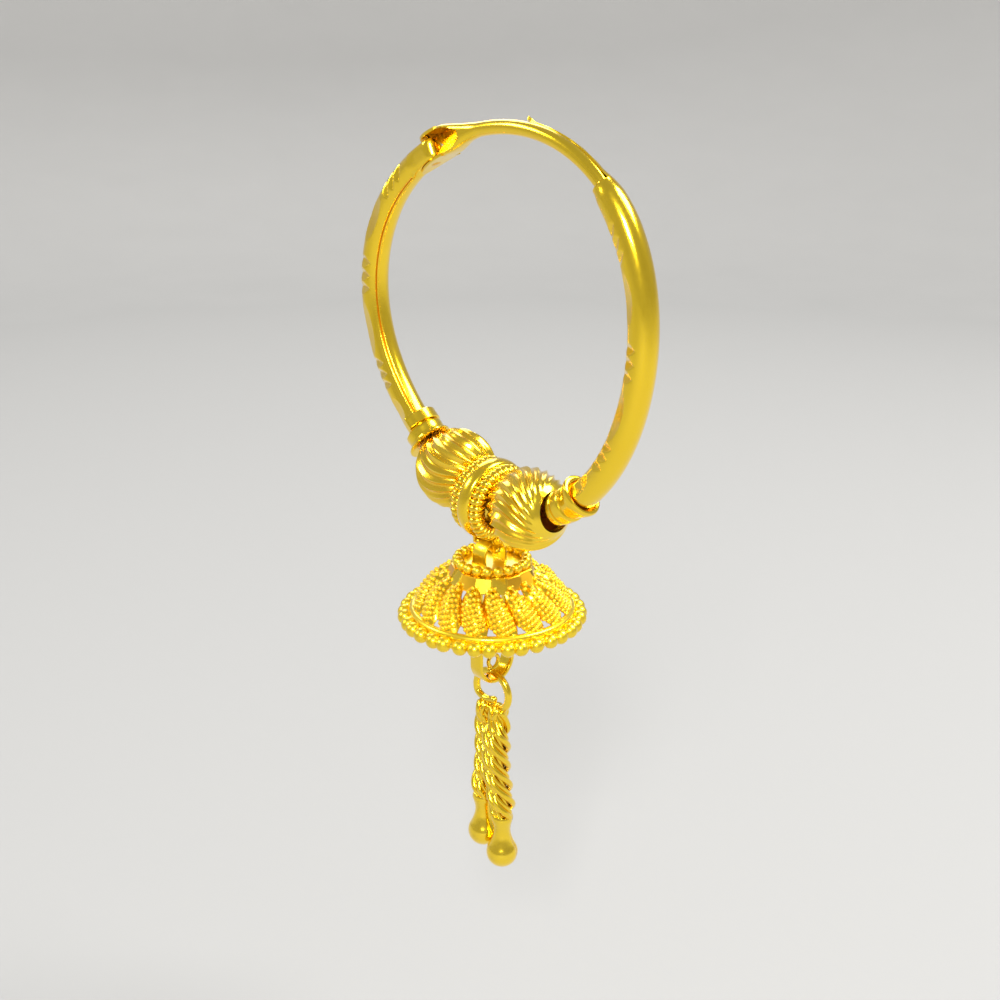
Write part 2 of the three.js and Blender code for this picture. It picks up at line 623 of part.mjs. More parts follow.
// The disc's Z goes along the hoop, and its Y with the eye points down.
const discOnHoop = geometryOf(centreDisc()).rotateY(Math.PI / 2).rotateX(-Math.PI / 2);
const disc = part('centre_disc', discOnHoop, YELLOW_GOLD, hoop);
disc.rotation.y = radians(DISC_LEAN);
disc.position.copy(hoopPoint(270)).add(vector(DISC_SHIFT, 0, 0));

const bar = vector(0, 0, -EYE_BAR_DROP).applyEuler(disc.rotation).add(disc.position)
  .applyAxisAngle(vector(0, 1, 0), radians(HOOP_TURN)).sub(hang);
const drop = new THREE.Group();
drop.position.z = -BELL_DROP;
part('bell', geometryOf(bell(bar.z + BELL_DROP, BAIL_SHIFT)), YELLOW_GOLD, drop);
part('jump_ring', ringLink(), PALE_GOLD, drop);
part('chain_left', strand(-1), YELLOW_GOLD, drop);
part('chain_right', strand(1), YELLOW_GOLD, drop);
part('end_drop_left', endDrop(-1), PALE_GOLD, drop);
part('end_drop_right', endDrop(1), PALE_GOLD, drop);

const earring = new THREE.Group();
earring.name = 'hinged_hoop_earring_with_bell_drop';
earring.add(hoop, drop);
export default earring;
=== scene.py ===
"""Hinged hoop earring in gold: its fine surfaces and finishes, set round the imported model.

Lengths are in millimetres until a piece is made. The hoop hangs in the XZ plane with its
front to -Y, and angles along it are in degrees, 0 to the right and 90 at the top.
"""

import bmesh
import bpy
import numpy as np
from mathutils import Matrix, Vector
from numpy import arange, clip, cos, hstack, linspace, pi, radians, sin, stack, vstack


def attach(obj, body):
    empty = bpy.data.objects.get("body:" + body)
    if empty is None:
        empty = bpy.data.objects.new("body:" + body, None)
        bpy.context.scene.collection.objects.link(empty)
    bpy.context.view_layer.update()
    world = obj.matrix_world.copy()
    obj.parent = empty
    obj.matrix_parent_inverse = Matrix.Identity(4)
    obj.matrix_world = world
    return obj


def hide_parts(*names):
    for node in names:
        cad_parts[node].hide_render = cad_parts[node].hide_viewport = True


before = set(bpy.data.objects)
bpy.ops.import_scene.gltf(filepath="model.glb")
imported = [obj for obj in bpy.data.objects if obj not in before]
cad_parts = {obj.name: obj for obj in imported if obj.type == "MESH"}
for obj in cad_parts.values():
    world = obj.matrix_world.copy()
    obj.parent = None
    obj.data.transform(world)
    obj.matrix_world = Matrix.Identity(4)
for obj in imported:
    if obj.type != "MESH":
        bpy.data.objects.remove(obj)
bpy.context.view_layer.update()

MM = 0.001
TAU = 2 * pi

# ---- driving dimensions

HOOP_RADIUS = 13.3
HOOP_BOW = 0.031
HOOP_BOW_ANGLE = 53.9
HOOP_TURN = 4.5
HANG_ANGLE = 98.2

WIRE_RADIUS = 0.5
WIRE_TIP_ANGLE = 47.5
FORK_RADIAL = 1.13
FORK_DEPTH = 0.97
WIRE_END_ANGLE = 102  # where the wire starts to widen into the fork
CHEEK_GAP = 0.88
WEB_DEPTH = 0.72
WEB_END_ANGLE = 122.2
INNER_SHARE = 0.87
# Each cheek's distance outwards, thickness, half depth, where its end begins and where it ends.
OUTER_CHEEK = (1.005, 0.234, 0.958, 121.5, 128.8)
INNER_CHEEK = (-0.89, 0.17, 0.9, 121, 134)
PIN_ANGLE = 126.5
PIN_RADIUS = 0.28
PIN_INNER_END = -0.98
KNUCKLE_RADIAL = 0.78
KNUCKLE_DEPTH = 0.85
KNUCKLE_SQUARENESS = 4.2
KNUCKLE_END_ANGLE = 135.2

TUBE_WALL = 0.17
MOUTH_ANGLE = 412.0
BORE_END_ANGLE = 390.0
TUBE_PITCH = 0.24  # degrees between the tubes' rings
TUBE_RADII = [(131, 0.9), (KNUCKLE_END_ANGLE, 0.94), (149, 0.98), (165, 1.03), (398, 1.03),
              (404, 1.0), (408, 0.95), (MOUTH_ANGLE, 0.78)]
CORE_RADIUS = 0.5

HOOP_BOTTOM = 270
BEAD_ANGLE = 17
BEAD_RADIUS = 3.05
BEAD_WALL = 0.25
BEAD_FLUTES = 22
FLUTE_DEPTH = 0.22
BEAD_OUTER_HOLES = {"left": 1.1, "right": 1.5}
BEAD_INNER_HOLE = 0.8
BEAD_OFFSET = 0.17

LEFT_COLLAR_END = 239.3
RIGHT_COLLAR_END = 300.35
COIL_MAJOR = 2.34
COIL_MINOR = 0.43
COIL_WIRE = 0.2
COIL_OFFSET = 0.96
COIL_TURNS = 34
DISC_LEAN = 2.5
DISC_SHIFT = 0.1
EYE_BAR_RADIUS = 0.27
EYE_BAR_DROP = 3.9
EYE_HALF_WIDTH = 1.08
EYE_TOP = 2.35
MILLING_RADIUS = 2.5
MILLING_GRAINS = 96

BELL_DROP = 35.51
BAR_HEIGHT = 5.251
RIM_GRANULES = 36
RIM_GRANULE_RADIUS = 0.57
RIM_RADIUS = 6.6
RING_RADIUS = 5.95
RING_HEIGHT = 0.46
RING_WIRE = 0.31
CROWN_FACETS = 16
CROWN_GRANULES = 21
CROWN_GRANULE_RADIUS = 0.4
CROWN_GRANULE_CIRCLE = 2.6
CROWN_GRANULE_HEIGHT = 4.34
LEAVES = 16
LEAF_DEPTH = 0.58
LEAF_WALL = 0.16
GRAIN_ROWS = 10
GRAIN_SPACING = 0.31
GRAIN_RADIUS = 0.2
LEAF_SLANT = -14.4
LEAF_START = -4.6
DOME_OUTLINE = [(0, 6.05, 0.42), (0.2, 5.82, 1.1), (0.4, 5.47, 1.78), (0.6, 4.98, 2.42),
                (0.8, 4.32, 3.0), (1, 3.2, 3.42)]

STRAP_THICKNESS = 0.28
BAIL_THICKNESS = 0.25
BAIL_GAP = 0.08
BAIL_WIDTH = 1.3
BAIL_FOOT_WIDTH = 1.9
BAIL_SHIFT = -0.28
BAIL_HALF_SPAN = 1.05
HANGER_WIDTH = 1.2
HANGER_HALF_SPAN = 1.63
HANGER_BOTTOM = -5.62
CURL_HEIGHT = -4.15
CURL_RADIUS = 0.62
CURL_WIRE = 0.16

RING_LINK_HALF_WIDTH = 1.76
RING_LINK_HALF_HEIGHT = 1.615
RING_LINK_WIRE = 0.29
RING_LINK_CENTRE = -6.695
RING_LINK_START = 262
RING_LINK_END = 640
STRAND_FIRST_LINK = -8.35
STRAND_BOTTOM = -17.1
STRAND_RADIUS = 0.975
STRAND_CORE_RADIUS = 0.58
STRAND_LEAD = 6.8
LINK_PITCH = 1.7
LOOP_WIRE = 0.205
LOOP_RADIUS = 0.64
LEFT_STRAND_SHORTER = 0.75
DROP_LENGTH = 4.75
DROP_BALL_RADIUS = 1.26
SLIT_TURN = 0.55
SLIT_WIDTH = 0.09
SLIT_DEPTH = 0.07

# ---- curves and surfaces


def along(rows, place):
    """Smooth curve through rows of (place, value): a cubic between neighbours whose slope at a
    row is the harmonic mean of the slopes on either side, and flat where they disagree."""
    x, y = np.array(rows, float).T
    step = np.diff(x)
    rise = np.diff(y) / step
    product = rise[:-1] * rise[1:]
    total = rise[:-1] + rise[1:]
    inner = np.where(product > 0, 2 * product / np.where(product > 0, total, 1), 0)
    slope = hstack([0, inner, 0])
    place = clip(np.asarray(place, float), x[0], x[-1])
    i = clip(np.searchsorted(x, place, side="right") - 1, 0, len(x) - 2)
    t = (place - x[i]) / step[i]
    return ((1 + 2 * t) * (1 - t) ** 2 * y[i] + t * (1 - t) ** 2 * step[i] * slope[i]
            + t * t * (3 - 2 * t) * y[i + 1] - t * t * (1 - t) * step[i] * slope[i + 1])


def unit(vectors):
    return vectors / np.linalg.norm(vectors, axis=-1, keepdims=True)


class Shell:
    """A surface: points, faces of four and of three corners, and how much painted shade each point
    gets, more the deeper in a recess it lies. It is closed, apart from the dome's sheet."""

    def __init__(self, points, quads, triangles, painted_shade=0.0):
        self.points = np.asarray(points, float).reshape(-1, 3)
        self.quads = np.asarray(quads, int).reshape(-1, 4)
        self.triangles = np.asarray(triangles, int).reshape(-1, 3)
        self.painted_shade = np.broadcast_to(np.asarray(painted_shade, float), len(self.points))

    def facing_out(self):
        """Turns the faces round if the triple products of their corners sum below zero."""
        corners = vstack([self.quads[:, :3], self.quads[:, [0, 2, 3]], self.triangles])
        a, b, c = (self.points[corners[:, k]] for k in range(3))
        if np.einsum("ij,ij->", a, np.cross(b, c)) < 0:
            self.quads, self.triangles = self.quads[:, ::-1], self.triangles[:, ::-1]
        return self

    def moved(self, turn=np.eye(3), shift=(0, 0, 0)):
        """The surface with its points turned by a matrix, then shifted."""
        return Shell(self.points @ turn.T + shift, self.quads, self.triangles, self.painted_shade)

    def repeated(self, shifts, turns=np.eye(3), sizes=1.0):
        """A copy at each shift, sized and turned first."""
        shifts = np.asarray(shifts, float).reshape(-1, 3)
        count = len(shifts)
        turns = np.broadcast_to(turns, (count, 3, 3))
        sizes = np.broadcast_to(np.asarray(sizes, float), count)
        copies = np.einsum("kij,pj->kpi", turns, self.points) * sizes[:, None, None]
        offset = arange(count)[:, None, None] * len(self.points)
        return Shell(copies + shifts[:, None], (self.quads + offset).reshape(-1, 4),
                     (self.triangles + offset).reshape(-1, 3), np.tile(self.painted_shade, count))


def grid_faces(rows, columns, round_rows=False, round_columns=True):
    """Four-cornered faces of a grid of points, which may close on itself either way."""
    row = arange(rows if round_rows else rows - 1)[:, None] * columns
    after = (row + columns) % (rows * columns)
    column = arange(columns if round_columns else columns - 1)
    right = (column + 1) % columns
    faces = stack([row + column, row + right, after + right, after + column], -1)
    return faces.reshape(-1, 4)


def loft(rings, joined=False, painted_shade=None):
    """Surface through equal rings of points, with a fan to the ring's mean at both ends unless
    the last ring meets the first."""
    rows, columns = rings.shape[:2]
    quads = grid_faces(rows, columns, joined)
    depth = np.zeros(rows * columns) if painted_shade is None else np.asarray(painted_shade, float).ravel()
    if joined:
        return Shell(rings, quads, np.zeros((0, 3)), depth).facing_out()
    column = arange(columns)
    right = (column + 1) % columns
    count = rows * columns
    last = count - columns
    triangles = vstack([stack([right, column, column * 0 + count], -1),
                        stack([last + column, last + right, column * 0 + count + 1], -1)])
    depth = hstack([depth, depth[:columns].mean(), depth[last:].mean()])
    return Shell(vstack([rings.reshape(-1, 3), rings[[0, -1]].mean(1)]), quads, triangles,
                 depth).facing_out()


def circle(sides, start=0.5):
    """Even turns round a circle, the first one `start` of a step on."""
    return (arange(sides) + start) / sides * TAU


def points(x, y, z):
    """Points from three coordinates, any of which may be one value for all."""
    return stack(np.broadcast_arrays(x, y, z), -1)


def polar(turn, radius, height):
    """Points at a turn round Z, a distance from it and a height."""
    return points(cos(turn) * radius, sin(turn) * radius, height)


def revolved(profile, columns):
    """Surface of revolution round Z through a closed profile of (radius, height) points."""
    radius, height = np.array(profile, float).T
    return loft(polar(circle(columns, 0)[:, None], radius, height), joined=True)


def turned(profile, columns):
    """Solid of revolution round Z through a profile of (radius, height) points, closed by a fan
    at either end."""
    radius, height = np.array(profile, float).T[..., None]
    return loft(polar(circle(columns, 0), radius, height))


def ball(radius, columns, rows):
    """Sphere: radius times the cosine of the latitude round, and times its sine up."""
    latitude = linspace(-pi / 2, pi / 2, rows + 1)
    latitude[[0, -1]] *= 0.97
    return turned(stack([cos(latitude), sin(latitude)], -1) * radius, columns)


def swept(path, section, side, joined=False):
    """A section carried along a path: each section point is its first value along `side`, made
    square to the path, plus its second value along the third direction."""
    if joined:
        heading = unit(np.roll(path, -1, 0) - np.roll(path, 1, 0))
    else:
        heading = unit(np.gradient(path, axis=0))
    across = unit(side - heading * np.sum(side * heading, -1, keepdims=True))
    third = np.cross(heading, across)
    return loft(path[:, None] + across[:, None] * section[..., :1]
                + third[:, None] * section[..., 1:], joined)


def wire(path, radius, side, sides, joined=False):
    """Round wire along a path. Open ends are half spheres: rings past the end whose radius
    falls as a cosine while they advance as a sine."""
    size = np.full(len(path), float(radius))
    if not joined:
        turn = radians([22, 45, 68, 84])
        past, less = sin(turn)[:, None] * radius, cos(turn) * radius
        first, last = unit(path[0] - path[1]), unit(path[-1] - path[-2])
        path = vstack([(path[0] + first * past)[::-1], path, path[-1] + last * past])
        size = hstack([less[::-1], size, less])
    turn = circle(sides)
    section = size[:, None, None] * stack([cos(turn), sin(turn)], -1)
    return swept(path, section, side, joined)


def rounded_box(half_width, half_height, corner):
    """Outline of a box with round corners, as (across, up) points."""
    turn = radians(linspace(0, 90, 4))
    return vstack([stack([sx * (half_width - corner) + corner * cos(turn + quarter),
                          sy * (half_height - corner) + corner * sin(turn + quarter)], -1)
                   for sx, sy, quarter in ((1, 1, 0), (-1, 1, pi / 2), (-1, -1, pi),
                                           (1, -1, 1.5 * pi))])


def mixed(first, second, share):
    return first * (1 - share) + second * share


def turned_about_y(degrees):
    """Matrix of a turn about Y."""
    c, s = cos(radians(degrees)), sin(radians(degrees))
    return np.array([[c, 0, s], [0, 1, 0], [-s, 0, c]])


def facing(directions, reference=(0, 0, 1)):
    """Turns that take Z to each direction, with X square to the reference."""
    z = unit(np.asarray(directions, float).reshape(-1, 3))
    x = np.cross(np.broadcast_to(reference, z.shape), z)
    short = np.linalg.norm(x, axis=-1) < 1e-6
    x[short] = np.cross([1, 0, 0], z[short])
    x = unit(x)
    return stack([x, np.cross(z, x), z], -1)


# ---- the hoop's centre line

HOOP_MATRIX = turned_about_y(HOOP_TURN)


def hoop_line(angle):
    """Point of the centre line: a circle whose radius swells as the cosine of three times the
    angle."""
    turn = radians(angle)
    radius = HOOP_RADIUS * (1 + HOOP_BOW * cos(3 * (turn - radians(HOOP_BOW_ANGLE))))
    return points(cos(turn) * radius, 0, sin(turn) * radius)


HANG_POINT = HOOP_MATRIX @ hoop_line(HANG_ANGLE)


def hung(line):
    """Points of the hoop's own plane where the hanging hoop has them."""
    return line @ HOOP_MATRIX.T - HANG_POINT


def hoop_directions(angle):
    """Along the hoop and outwards, at an angle."""
    tangent = unit(hoop_line(angle + 0.05) - hoop_line(angle - 0.05))
    return tangent, points(tangent[..., 2], 0, -tangent[..., 0])


def beside(angle, out, front):
    """Point beside the centre line: `out` away from the hoop's middle, `front` forwards."""
    angle, out, front = np.broadcast_arrays(angle, out, front)
    _, outward = hoop_directions(angle)
    return hung(hoop_line(angle) + outward * out[..., None] - points(0, front, 0))


def degrees_for(length):
    return np.degrees(length / HOOP_RADIUS)


def round_section(angle, turn, radius):
    """Ring round the centre line, `turn` 0 outwards and a quarter turn to the front."""
    return beside(angle, cos(turn) * radius, sin(turn) * radius)


def boxy(turn, out, front, squareness):
    """Rounded box: the cosine and sine raised to two over the squareness, times the sizes."""
    def half(value, size):
        return np.sign(value) * np.abs(value) ** (2 / squareness) * size
    return half(cos(turn), out), half(sin(turn), front)


# ---- ear wire and its hinge


def fork():
    """The ear wire and the channel of its fork. Each section is a rounded box whose front
    between the cheeks is let in: its depth goes from the surface to the web."""
    tip_length = degrees_for(WIRE_RADIUS)
    tip = WIRE_TIP_ANGLE + tip_length * (1 - cos(linspace(0.12, 1.5, 7)))
    angle = hstack([tip, linspace(53, WIRE_END_ANGLE, 90),
                    linspace(WIRE_END_ANGLE + 0.6, WEB_END_ANGLE - 0.3, 64),
                    [WEB_END_ANGLE]])[:, None]
    to_tip = clip((angle - WIRE_TIP_ANGLE) / tip_length, 0, 1)
    blunt = np.sqrt(clip(1 - (1 - to_tip) ** 2, 0.02, 1))
    out = along([(WIRE_END_ANGLE, WIRE_RADIUS), (107.5, 0.62), (112.5, 0.86), (118, FORK_RADIAL),
                 (123, FORK_RADIAL)], angle) * blunt
    front = along([(103, WIRE_RADIUS), (111, 0.72), (118, FORK_DEPTH), (123, FORK_DEPTH)],
                  angle) * blunt
    square = along([(104, 2), (118, 4.5)], angle)
    gap = np.minimum(along([(110, 0.3), (114, 0.72), (117, CHEEK_GAP)], angle), out * 0.8)
    let_in = along([(110.2, 0), (111.6, 0.35), (114, 0.85), (117, 1)], angle)
    edge = np.arccos((gap / out) ** (square / 2))
    turn = edge - linspace(0, 1, 61) * (pi + 2 * edge)
    shell_out, shell_front = boxy(turn, out, front, square)
    inner_share = along([(112, 1), (118, INNER_SHARE)], angle)
    shell_out = shell_out * np.where(shell_out < 0, inner_share, 1)
    place = linspace(-1, 1, 21)
    across = place * gap
    surface = front * (1 - np.abs(across / out) ** square) ** (1 / square)
    corner = clip((1 - np.abs(place)) / 0.12, 0, 1)
    web = mixed(surface, -WEB_DEPTH, let_in) + (1 - corner) ** 2 * 0.12 * let_in
    ring_out = hstack([shell_out, across])
    ring_front = hstack([shell_front, web])
    # The let-in channel between the cheeks gets painted shade.
    depth = hstack([0 * shell_out, let_in + 0 * across])
    return loft(beside(angle, ring_out, ring_front), painted_shade=depth)


def cheek(out, thick, half_depth, round_from, end):
    """Plate on one side of the fork, from inside the channel to its round end beyond the pin.
    Past `round_from` its half depth falls off as a superellipse."""
    angle = hstack([linspace(118.5, round_from, 22),
                    round_from + (end - round_from) * sin(linspace(0.05, 1.5, 26))])
    taper = clip((angle - round_from) / (end - round_from), 0, 1)
    half = half_depth * (1 - taper ** 1.8) ** (1 / 1.8)
    outline = rounded_box(1, 1, 0.28)
    front = half[:, None] * outline[:, 0]
    return loft(beside(angle[:, None], out + thick / 2 * outline[:, 1], front))


def pin():
    """Hinge pin across the cheeks, each end spread into a low dome."""
    low, high = PIN_INNER_END, FORK_RADIAL
    profile = [(0.05, low - 0.06), (0.2, low - 0.05), (0.31, low - 0.02), (0.35, low),
               (PIN_RADIUS, low + 0.02), (PIN_RADIUS, high - 0.02), (0.35, high),
               (0.31, high + 0.03), (0.2, high + 0.06), (0.05, high + 0.07)]
    _, outward = hoop_directions(PIN_ANGLE)
    turn = facing(HOOP_MATRIX @ outward, (0, 1, 0))[0]
    return turned(profile, 32).moved(turn, hung(hoop_line(PIN_ANGLE)))


# ---- hoop tubes


# Bright cuts in the tube: angle along the hoop, half length in degrees, depth, and how many
# degrees along the hoop the cut slants over a quarter turn. A long one is a shallow lens.
LENS_CUTS = [(160, 7.5, 0.2), (195.5, 8.5, 0.2), (224.3, 4.8, 0.2)]
NOTCH_CUTS = [(140.6, 1.95, 0.24, 3), (144.5, 1.95, 0.24, 3), (148.4, 1.95, 0.24, 3),
              (174.1, 2.0, 0.3, 0), (178.3, 2.0, 0.32, 0), (182.5, 2.0, 0.3, 0),
              (206.6, 1.8, 0.27, 2.5), (210.4, 1.8, 0.27, 2.5), (214.2, 1.8, 0.27, 2.5)]
LEFT_CUT_FACING = radians(72)
RIGHT_CUT_FACING = radians(118)
RIGHT_CUT_SHARE = 0.75
SEAM_TURN = radians(146)
SEAM_HALF_WIDTH = 0.06
SEAM_DEPTH = 0.07
SOLDER_HEIGHT = 0.03


def seamed(angle):
    """Whether the tube's soldered seam shows at an angle: along the left tube alone."""
    return (angle > 137) & (angle < 232)


def tube_radius(angle, turn):
    """Radius of the hoop's tube, less its cuts. A cut is a plane square to the front, at the
    tube's radius less the cut's depth there, so its distance along a turn is that over the
    cosine of the turn from the front; the depth falls off squarely along a lens and evenly
    along a notch. The right side has the left side's cuts mirrored."""
    radius = whole = along(TUBE_RADII, angle) + 0 * turn
    right = angle > HOOP_BOTTOM
    here = np.where(right, 2 * HOOP_BOTTOM - angle, angle)
    away = turn - np.where(right, RIGHT_CUT_FACING, LEFT_CUT_FACING)
    away = np.arctan2(sin(away), cos(away))
    facing_cut = np.maximum(cos(away), 0.05)
    scale = np.where(right, RIGHT_CUT_SHARE, 1)
    for middle, half, depth in LENS_CUTS:
        share = clip(1 - ((here - middle) / half) ** 2, -1, 1)
        radius = np.minimum(radius, (whole - depth * scale * share) / facing_cut)
    for middle, half, depth, slant in NOTCH_CUTS:
        share = 1 - np.abs(here - middle - slant * away / (pi / 2)) / half
        radius = np.minimum(radius, (whole - depth * scale * share) / facing_cut)
    seam = np.abs(turn - SEAM_TURN) * whole
    groove = SEAM_DEPTH * clip(1 - seam / SEAM_HALF_WIDTH, 0, 1)
    uneven = 0.6 + 0.4 * sin(angle * 9.7) * sin(angle * 3.1 + 1)
    solder = SOLDER_HEIGHT * np.exp(-((seam - 0.16) / 0.07) ** 2) * uneven
    return radius - np.where(seamed(angle), groove - solder, 0)


def tube_turns():
    """Turns round the tube, closer together beside the seam."""
    beside_seam = np.array([0.025, 0.05, 0.09, 0.13, 0.18, 0.24])
    seam = hstack([-beside_seam, 0, beside_seam])
    even = circle(72)
    even = even[np.abs(even - SEAM_TURN) > 0.27]
    return np.sort(hstack([even, SEAM_TURN + seam]))


def tube(start, end):
    """Rings of the tube between two angles, and painted shade by their depth in cuts and the seam.
    """
    angle = linspace(start, end, int(abs(end - start) / TUBE_PITCH) + 2)[:, None]
    turn = tube_turns()
    radius = tube_radius(angle, turn)
    # Painted shade grows with the depth of a cut and is strong along the seam's groove.
    depth = clip((along(TUBE_RADII, angle) - radius) / 0.3, 0, 1) * 0.3
    in_seam = (np.abs(turn - SEAM_TURN) * 1.03 < SEAM_HALF_WIDTH) & seamed(angle)
    return round_section(angle, turn, radius), depth + 1.6 * in_seam


def left_tube():
    """Knuckle and left tube: a flat-sided block with a round nose that turns into the tube."""
    turn = tube_turns()
    back = hstack([-cos(linspace(0.2, 1.4, 12)), linspace(-0.1, 1.3, 14)])
    angle = (PIN_ANGLE + degrees_for(back * KNUCKLE_DEPTH))[:, None]
    nose = (KNUCKLE_DEPTH * np.sqrt(1 - np.minimum(back, 0) ** 2))[:, None]
    knuckle = beside(angle, *boxy(turn, KNUCKLE_RADIAL, nose, KNUCKLE_SQUARENESS))
    start = angle[-1, 0]
    angle = linspace(start + 0.4, KNUCKLE_END_ANGLE, 12)[:, None]
    share = (angle - start) / (KNUCKLE_END_ANGLE - start)
    size = along(TUBE_RADII, angle)
    blend = beside(angle, *boxy(turn, mixed(KNUCKLE_RADIAL, size, share),
                                mixed(KNUCKLE_DEPTH, size, share),
                                mixed(KNUCKLE_SQUARENESS, 2, share)))
    rings, depth = tube(KNUCKLE_END_ANGLE + 0.3, LEFT_COLLAR_END - 2)
    smooth = np.zeros((len(knuckle) + len(blend), turn.size))
    return loft(vstack([knuckle, blend, rings]), painted_shade=vstack([smooth, depth]))


def right_tube():
    """Right tube up to its mouth, round the lip and back down the bore."""
    rings, depth = tube(RIGHT_COLLAR_END + 2, MOUTH_ANGLE)
    inner = hstack([MOUTH_ANGLE + 0.3, linspace(MOUTH_ANGLE + 0.2, BORE_END_ANGLE, 18)])[:, None]
    radius = along(TUBE_RADII, inner) - TUBE_WALL
    radius[0] += 0.09
    bore = round_section(inner, tube_turns(), radius)
    # The bore gets full painted shade.
    return loft(vstack([rings, bore]), painted_shade=vstack([depth, np.ones(bore.shape[:2])]))


def core():
    """Rod that the beads and the disc are threaded on."""
    angle = linspace(LEFT_COLLAR_END - 1, RIGHT_COLLAR_END + 1, 40)[:, None]
    return loft(round_section(angle, circle(24)[None, :], CORE_RADIUS))


# Collars from the bead to their far end, as rows of length along the hoop and radius. The left
# one is a flange, a band, a groove and a tab; the right one a cup that opens up the tube.
LEFT_COLLAR = [(0, 0.9), (0, 1.45), (0.02, 1.6), (0.08, 1.68), (0.2, 1.68), (0.27, 1.62),
               (0.31, 1.5), (0.42, 1.47), (1.05, 1.5), (1.15, 1.49), (1.2, 1.42), (1.23, 1.22),
               (1.33, 1.2), (1.37, 1.38), (1.42, 1.45), (2.3, 1.43), (2.38, 1.38), (2.42, 1.15),
               (2.44, 0.95)]
RIGHT_COLLAR = [(-0.35, 0.9), (-0.35, 1.1), (-0.32, 1.18), (-0.26, 1.22), (0.2, 1.26),
                (0.27, 1.24), (0.3, 1.17), (0.38, 1.16), (0.42, 1.24), (0.5, 1.3), (1.1, 1.3),
                (1.18, 1.27), (1.24, 1.18), (1.36, 1.19), (1.65, 1.26), (2.0, 1.38), (2.3, 1.45),
                (2.5, 1.45), (2.62, 1.38), (2.66, 1.27), (2.6, 1.17), (2.4, 1.11), (2.2, 0.95)]


def collar(rows, end, direction, radius_at):
    """Cap on the tube's end: each row of length and radius is a ring round the hoop's line."""
    rows = np.array(rows, float)
    place = np.unique(hstack([arange(0, len(rows) - 1, 0.25), [len(rows) - 1]]))
    length = np.interp(place, arange(len(rows)), rows[:, 0])[:, None]
    radius = np.interp(place, arange(len(rows)), rows[:, 1])[:, None]
    turn = circle(96)[None, :]
    shaped = radius_at(length, radius, turn)
    # Painted shade where the collar dips below its band: the groove and the ends.
    depth = clip((1.22 - radius) / 0.1, 0, 1) + 0 * turn
    return loft(round_section(end - direction * degrees_for(length), turn, shaped), painted_shade=depth)


def left_collar():
    """The flange stands out a little more on the hoop's outer side, and past the groove only
    the tab is left, on the inner side, its edge rolled."""
    def radius_at(length, radius, turn):
        inside = 0.5 - 0.5 * cos(turn - 0.12)
        edge = 1 / (1 + np.exp(-(inside - 0.5) * 40))
        rolled = 0.13 * np.exp(-((inside - 0.62) / 0.07) ** 2)
        flange = 0.2 * clip(cos(turn - 0.3), 0, 1) ** 2 * clip(1.5 - length / 0.4, 0, 1)
        low = np.minimum(radius, 1.05)
        tab = low + (radius + 0.14 * inside - low) * edge + rolled * (radius > 1.25)
        return np.where(length > 1.34, tab, radius + flange * (radius > 1.2))
    return collar(LEFT_COLLAR, LEFT_COLLAR_END, 1, radius_at)


def right_collar():
    """The cup's mouth is pressed into two lobes, one on the hoop's inner side and one below."""
    def radius_at(length, radius, turn):
        open_end = clip((length - 1.3) / 1.1, 0, 1)
        lobes = cos(2 * (turn - radians(165))) * 0.12 + cos(turn - radians(160)) * 0.06
        return radius + lobes * open_end * clip((radius - 1.15) / 0.2, 0, 1)
    return collar(RIGHT_COLLAR, RIGHT_COLLAR_END, -1, radius_at)


TONGUE_ANGLES = (47, 85)
TONGUE_FACING = radians(-42)


def tongue():
    """Thin hammered tongue along the wire's outer back side, its free end curled outwards."""
    start, end = TONGUE_ANGLES
    angle = hstack([linspace(start, 80, 150), linspace(80.2, end, 24)])[:, None]
    lift = along([(start, 0.8), (51, 0.68), (56, 0.49), (81, 0.48), (83.2, 0.55), (end, 0.64)],
                 angle)
    spread = radians(along([(start, 40), (60, 32), (80, 22), (83, 20), (end, 15)], angle))
    ragged = 1 + 0.08 * sin(angle * 0.7 + 0.7) * (angle > 52)
    outer = linspace(-1, 1, 13)
    turn = TONGUE_FACING + outer * spread * ragged
    hammered = sin(angle * 0.9 + outer * 1.5) * cos(outer * 2)
    bump = 0.022 * hammered * clip((angle - 56) / 4, 0, 1) * clip((76 - angle) / 6, 0, 1)
    thick = along([(start, 0.16), (60, 0.13), (80, 0.1), (83, 0.2), (end, 0.26)], angle)
    top = round_section(angle, turn, lift + thick + bump)
    under = round_section(angle, turn[:, ::-1], lift + 0 * turn)
    return loft(hstack([top, under]))


# ---- fluted beads and disc


# For each bead, its flutes' turn in degrees as two factors of the latitude and its square, and
# rows of latitude and share of the flutes' depth and painted shade. They end in pits, or fade
# into a smooth cap.
FLUTE_CURVES = {"left": (-0.2, 0.007), "right": (0.45, 0.012)}
FLUTE_FADES = {"left": [(-75, 0.3), (-58, 0.8), (-50, 1.5), (-38, 1), (42, 1), (52, 1.5),
                        (62, 0.5), (67, 0.2)],
               "right": [(-75, 0.3), (-60, 0.8), (-50, 1.6), (-38, 1), (26, 1), (42, 0.4), (54, 0)]}


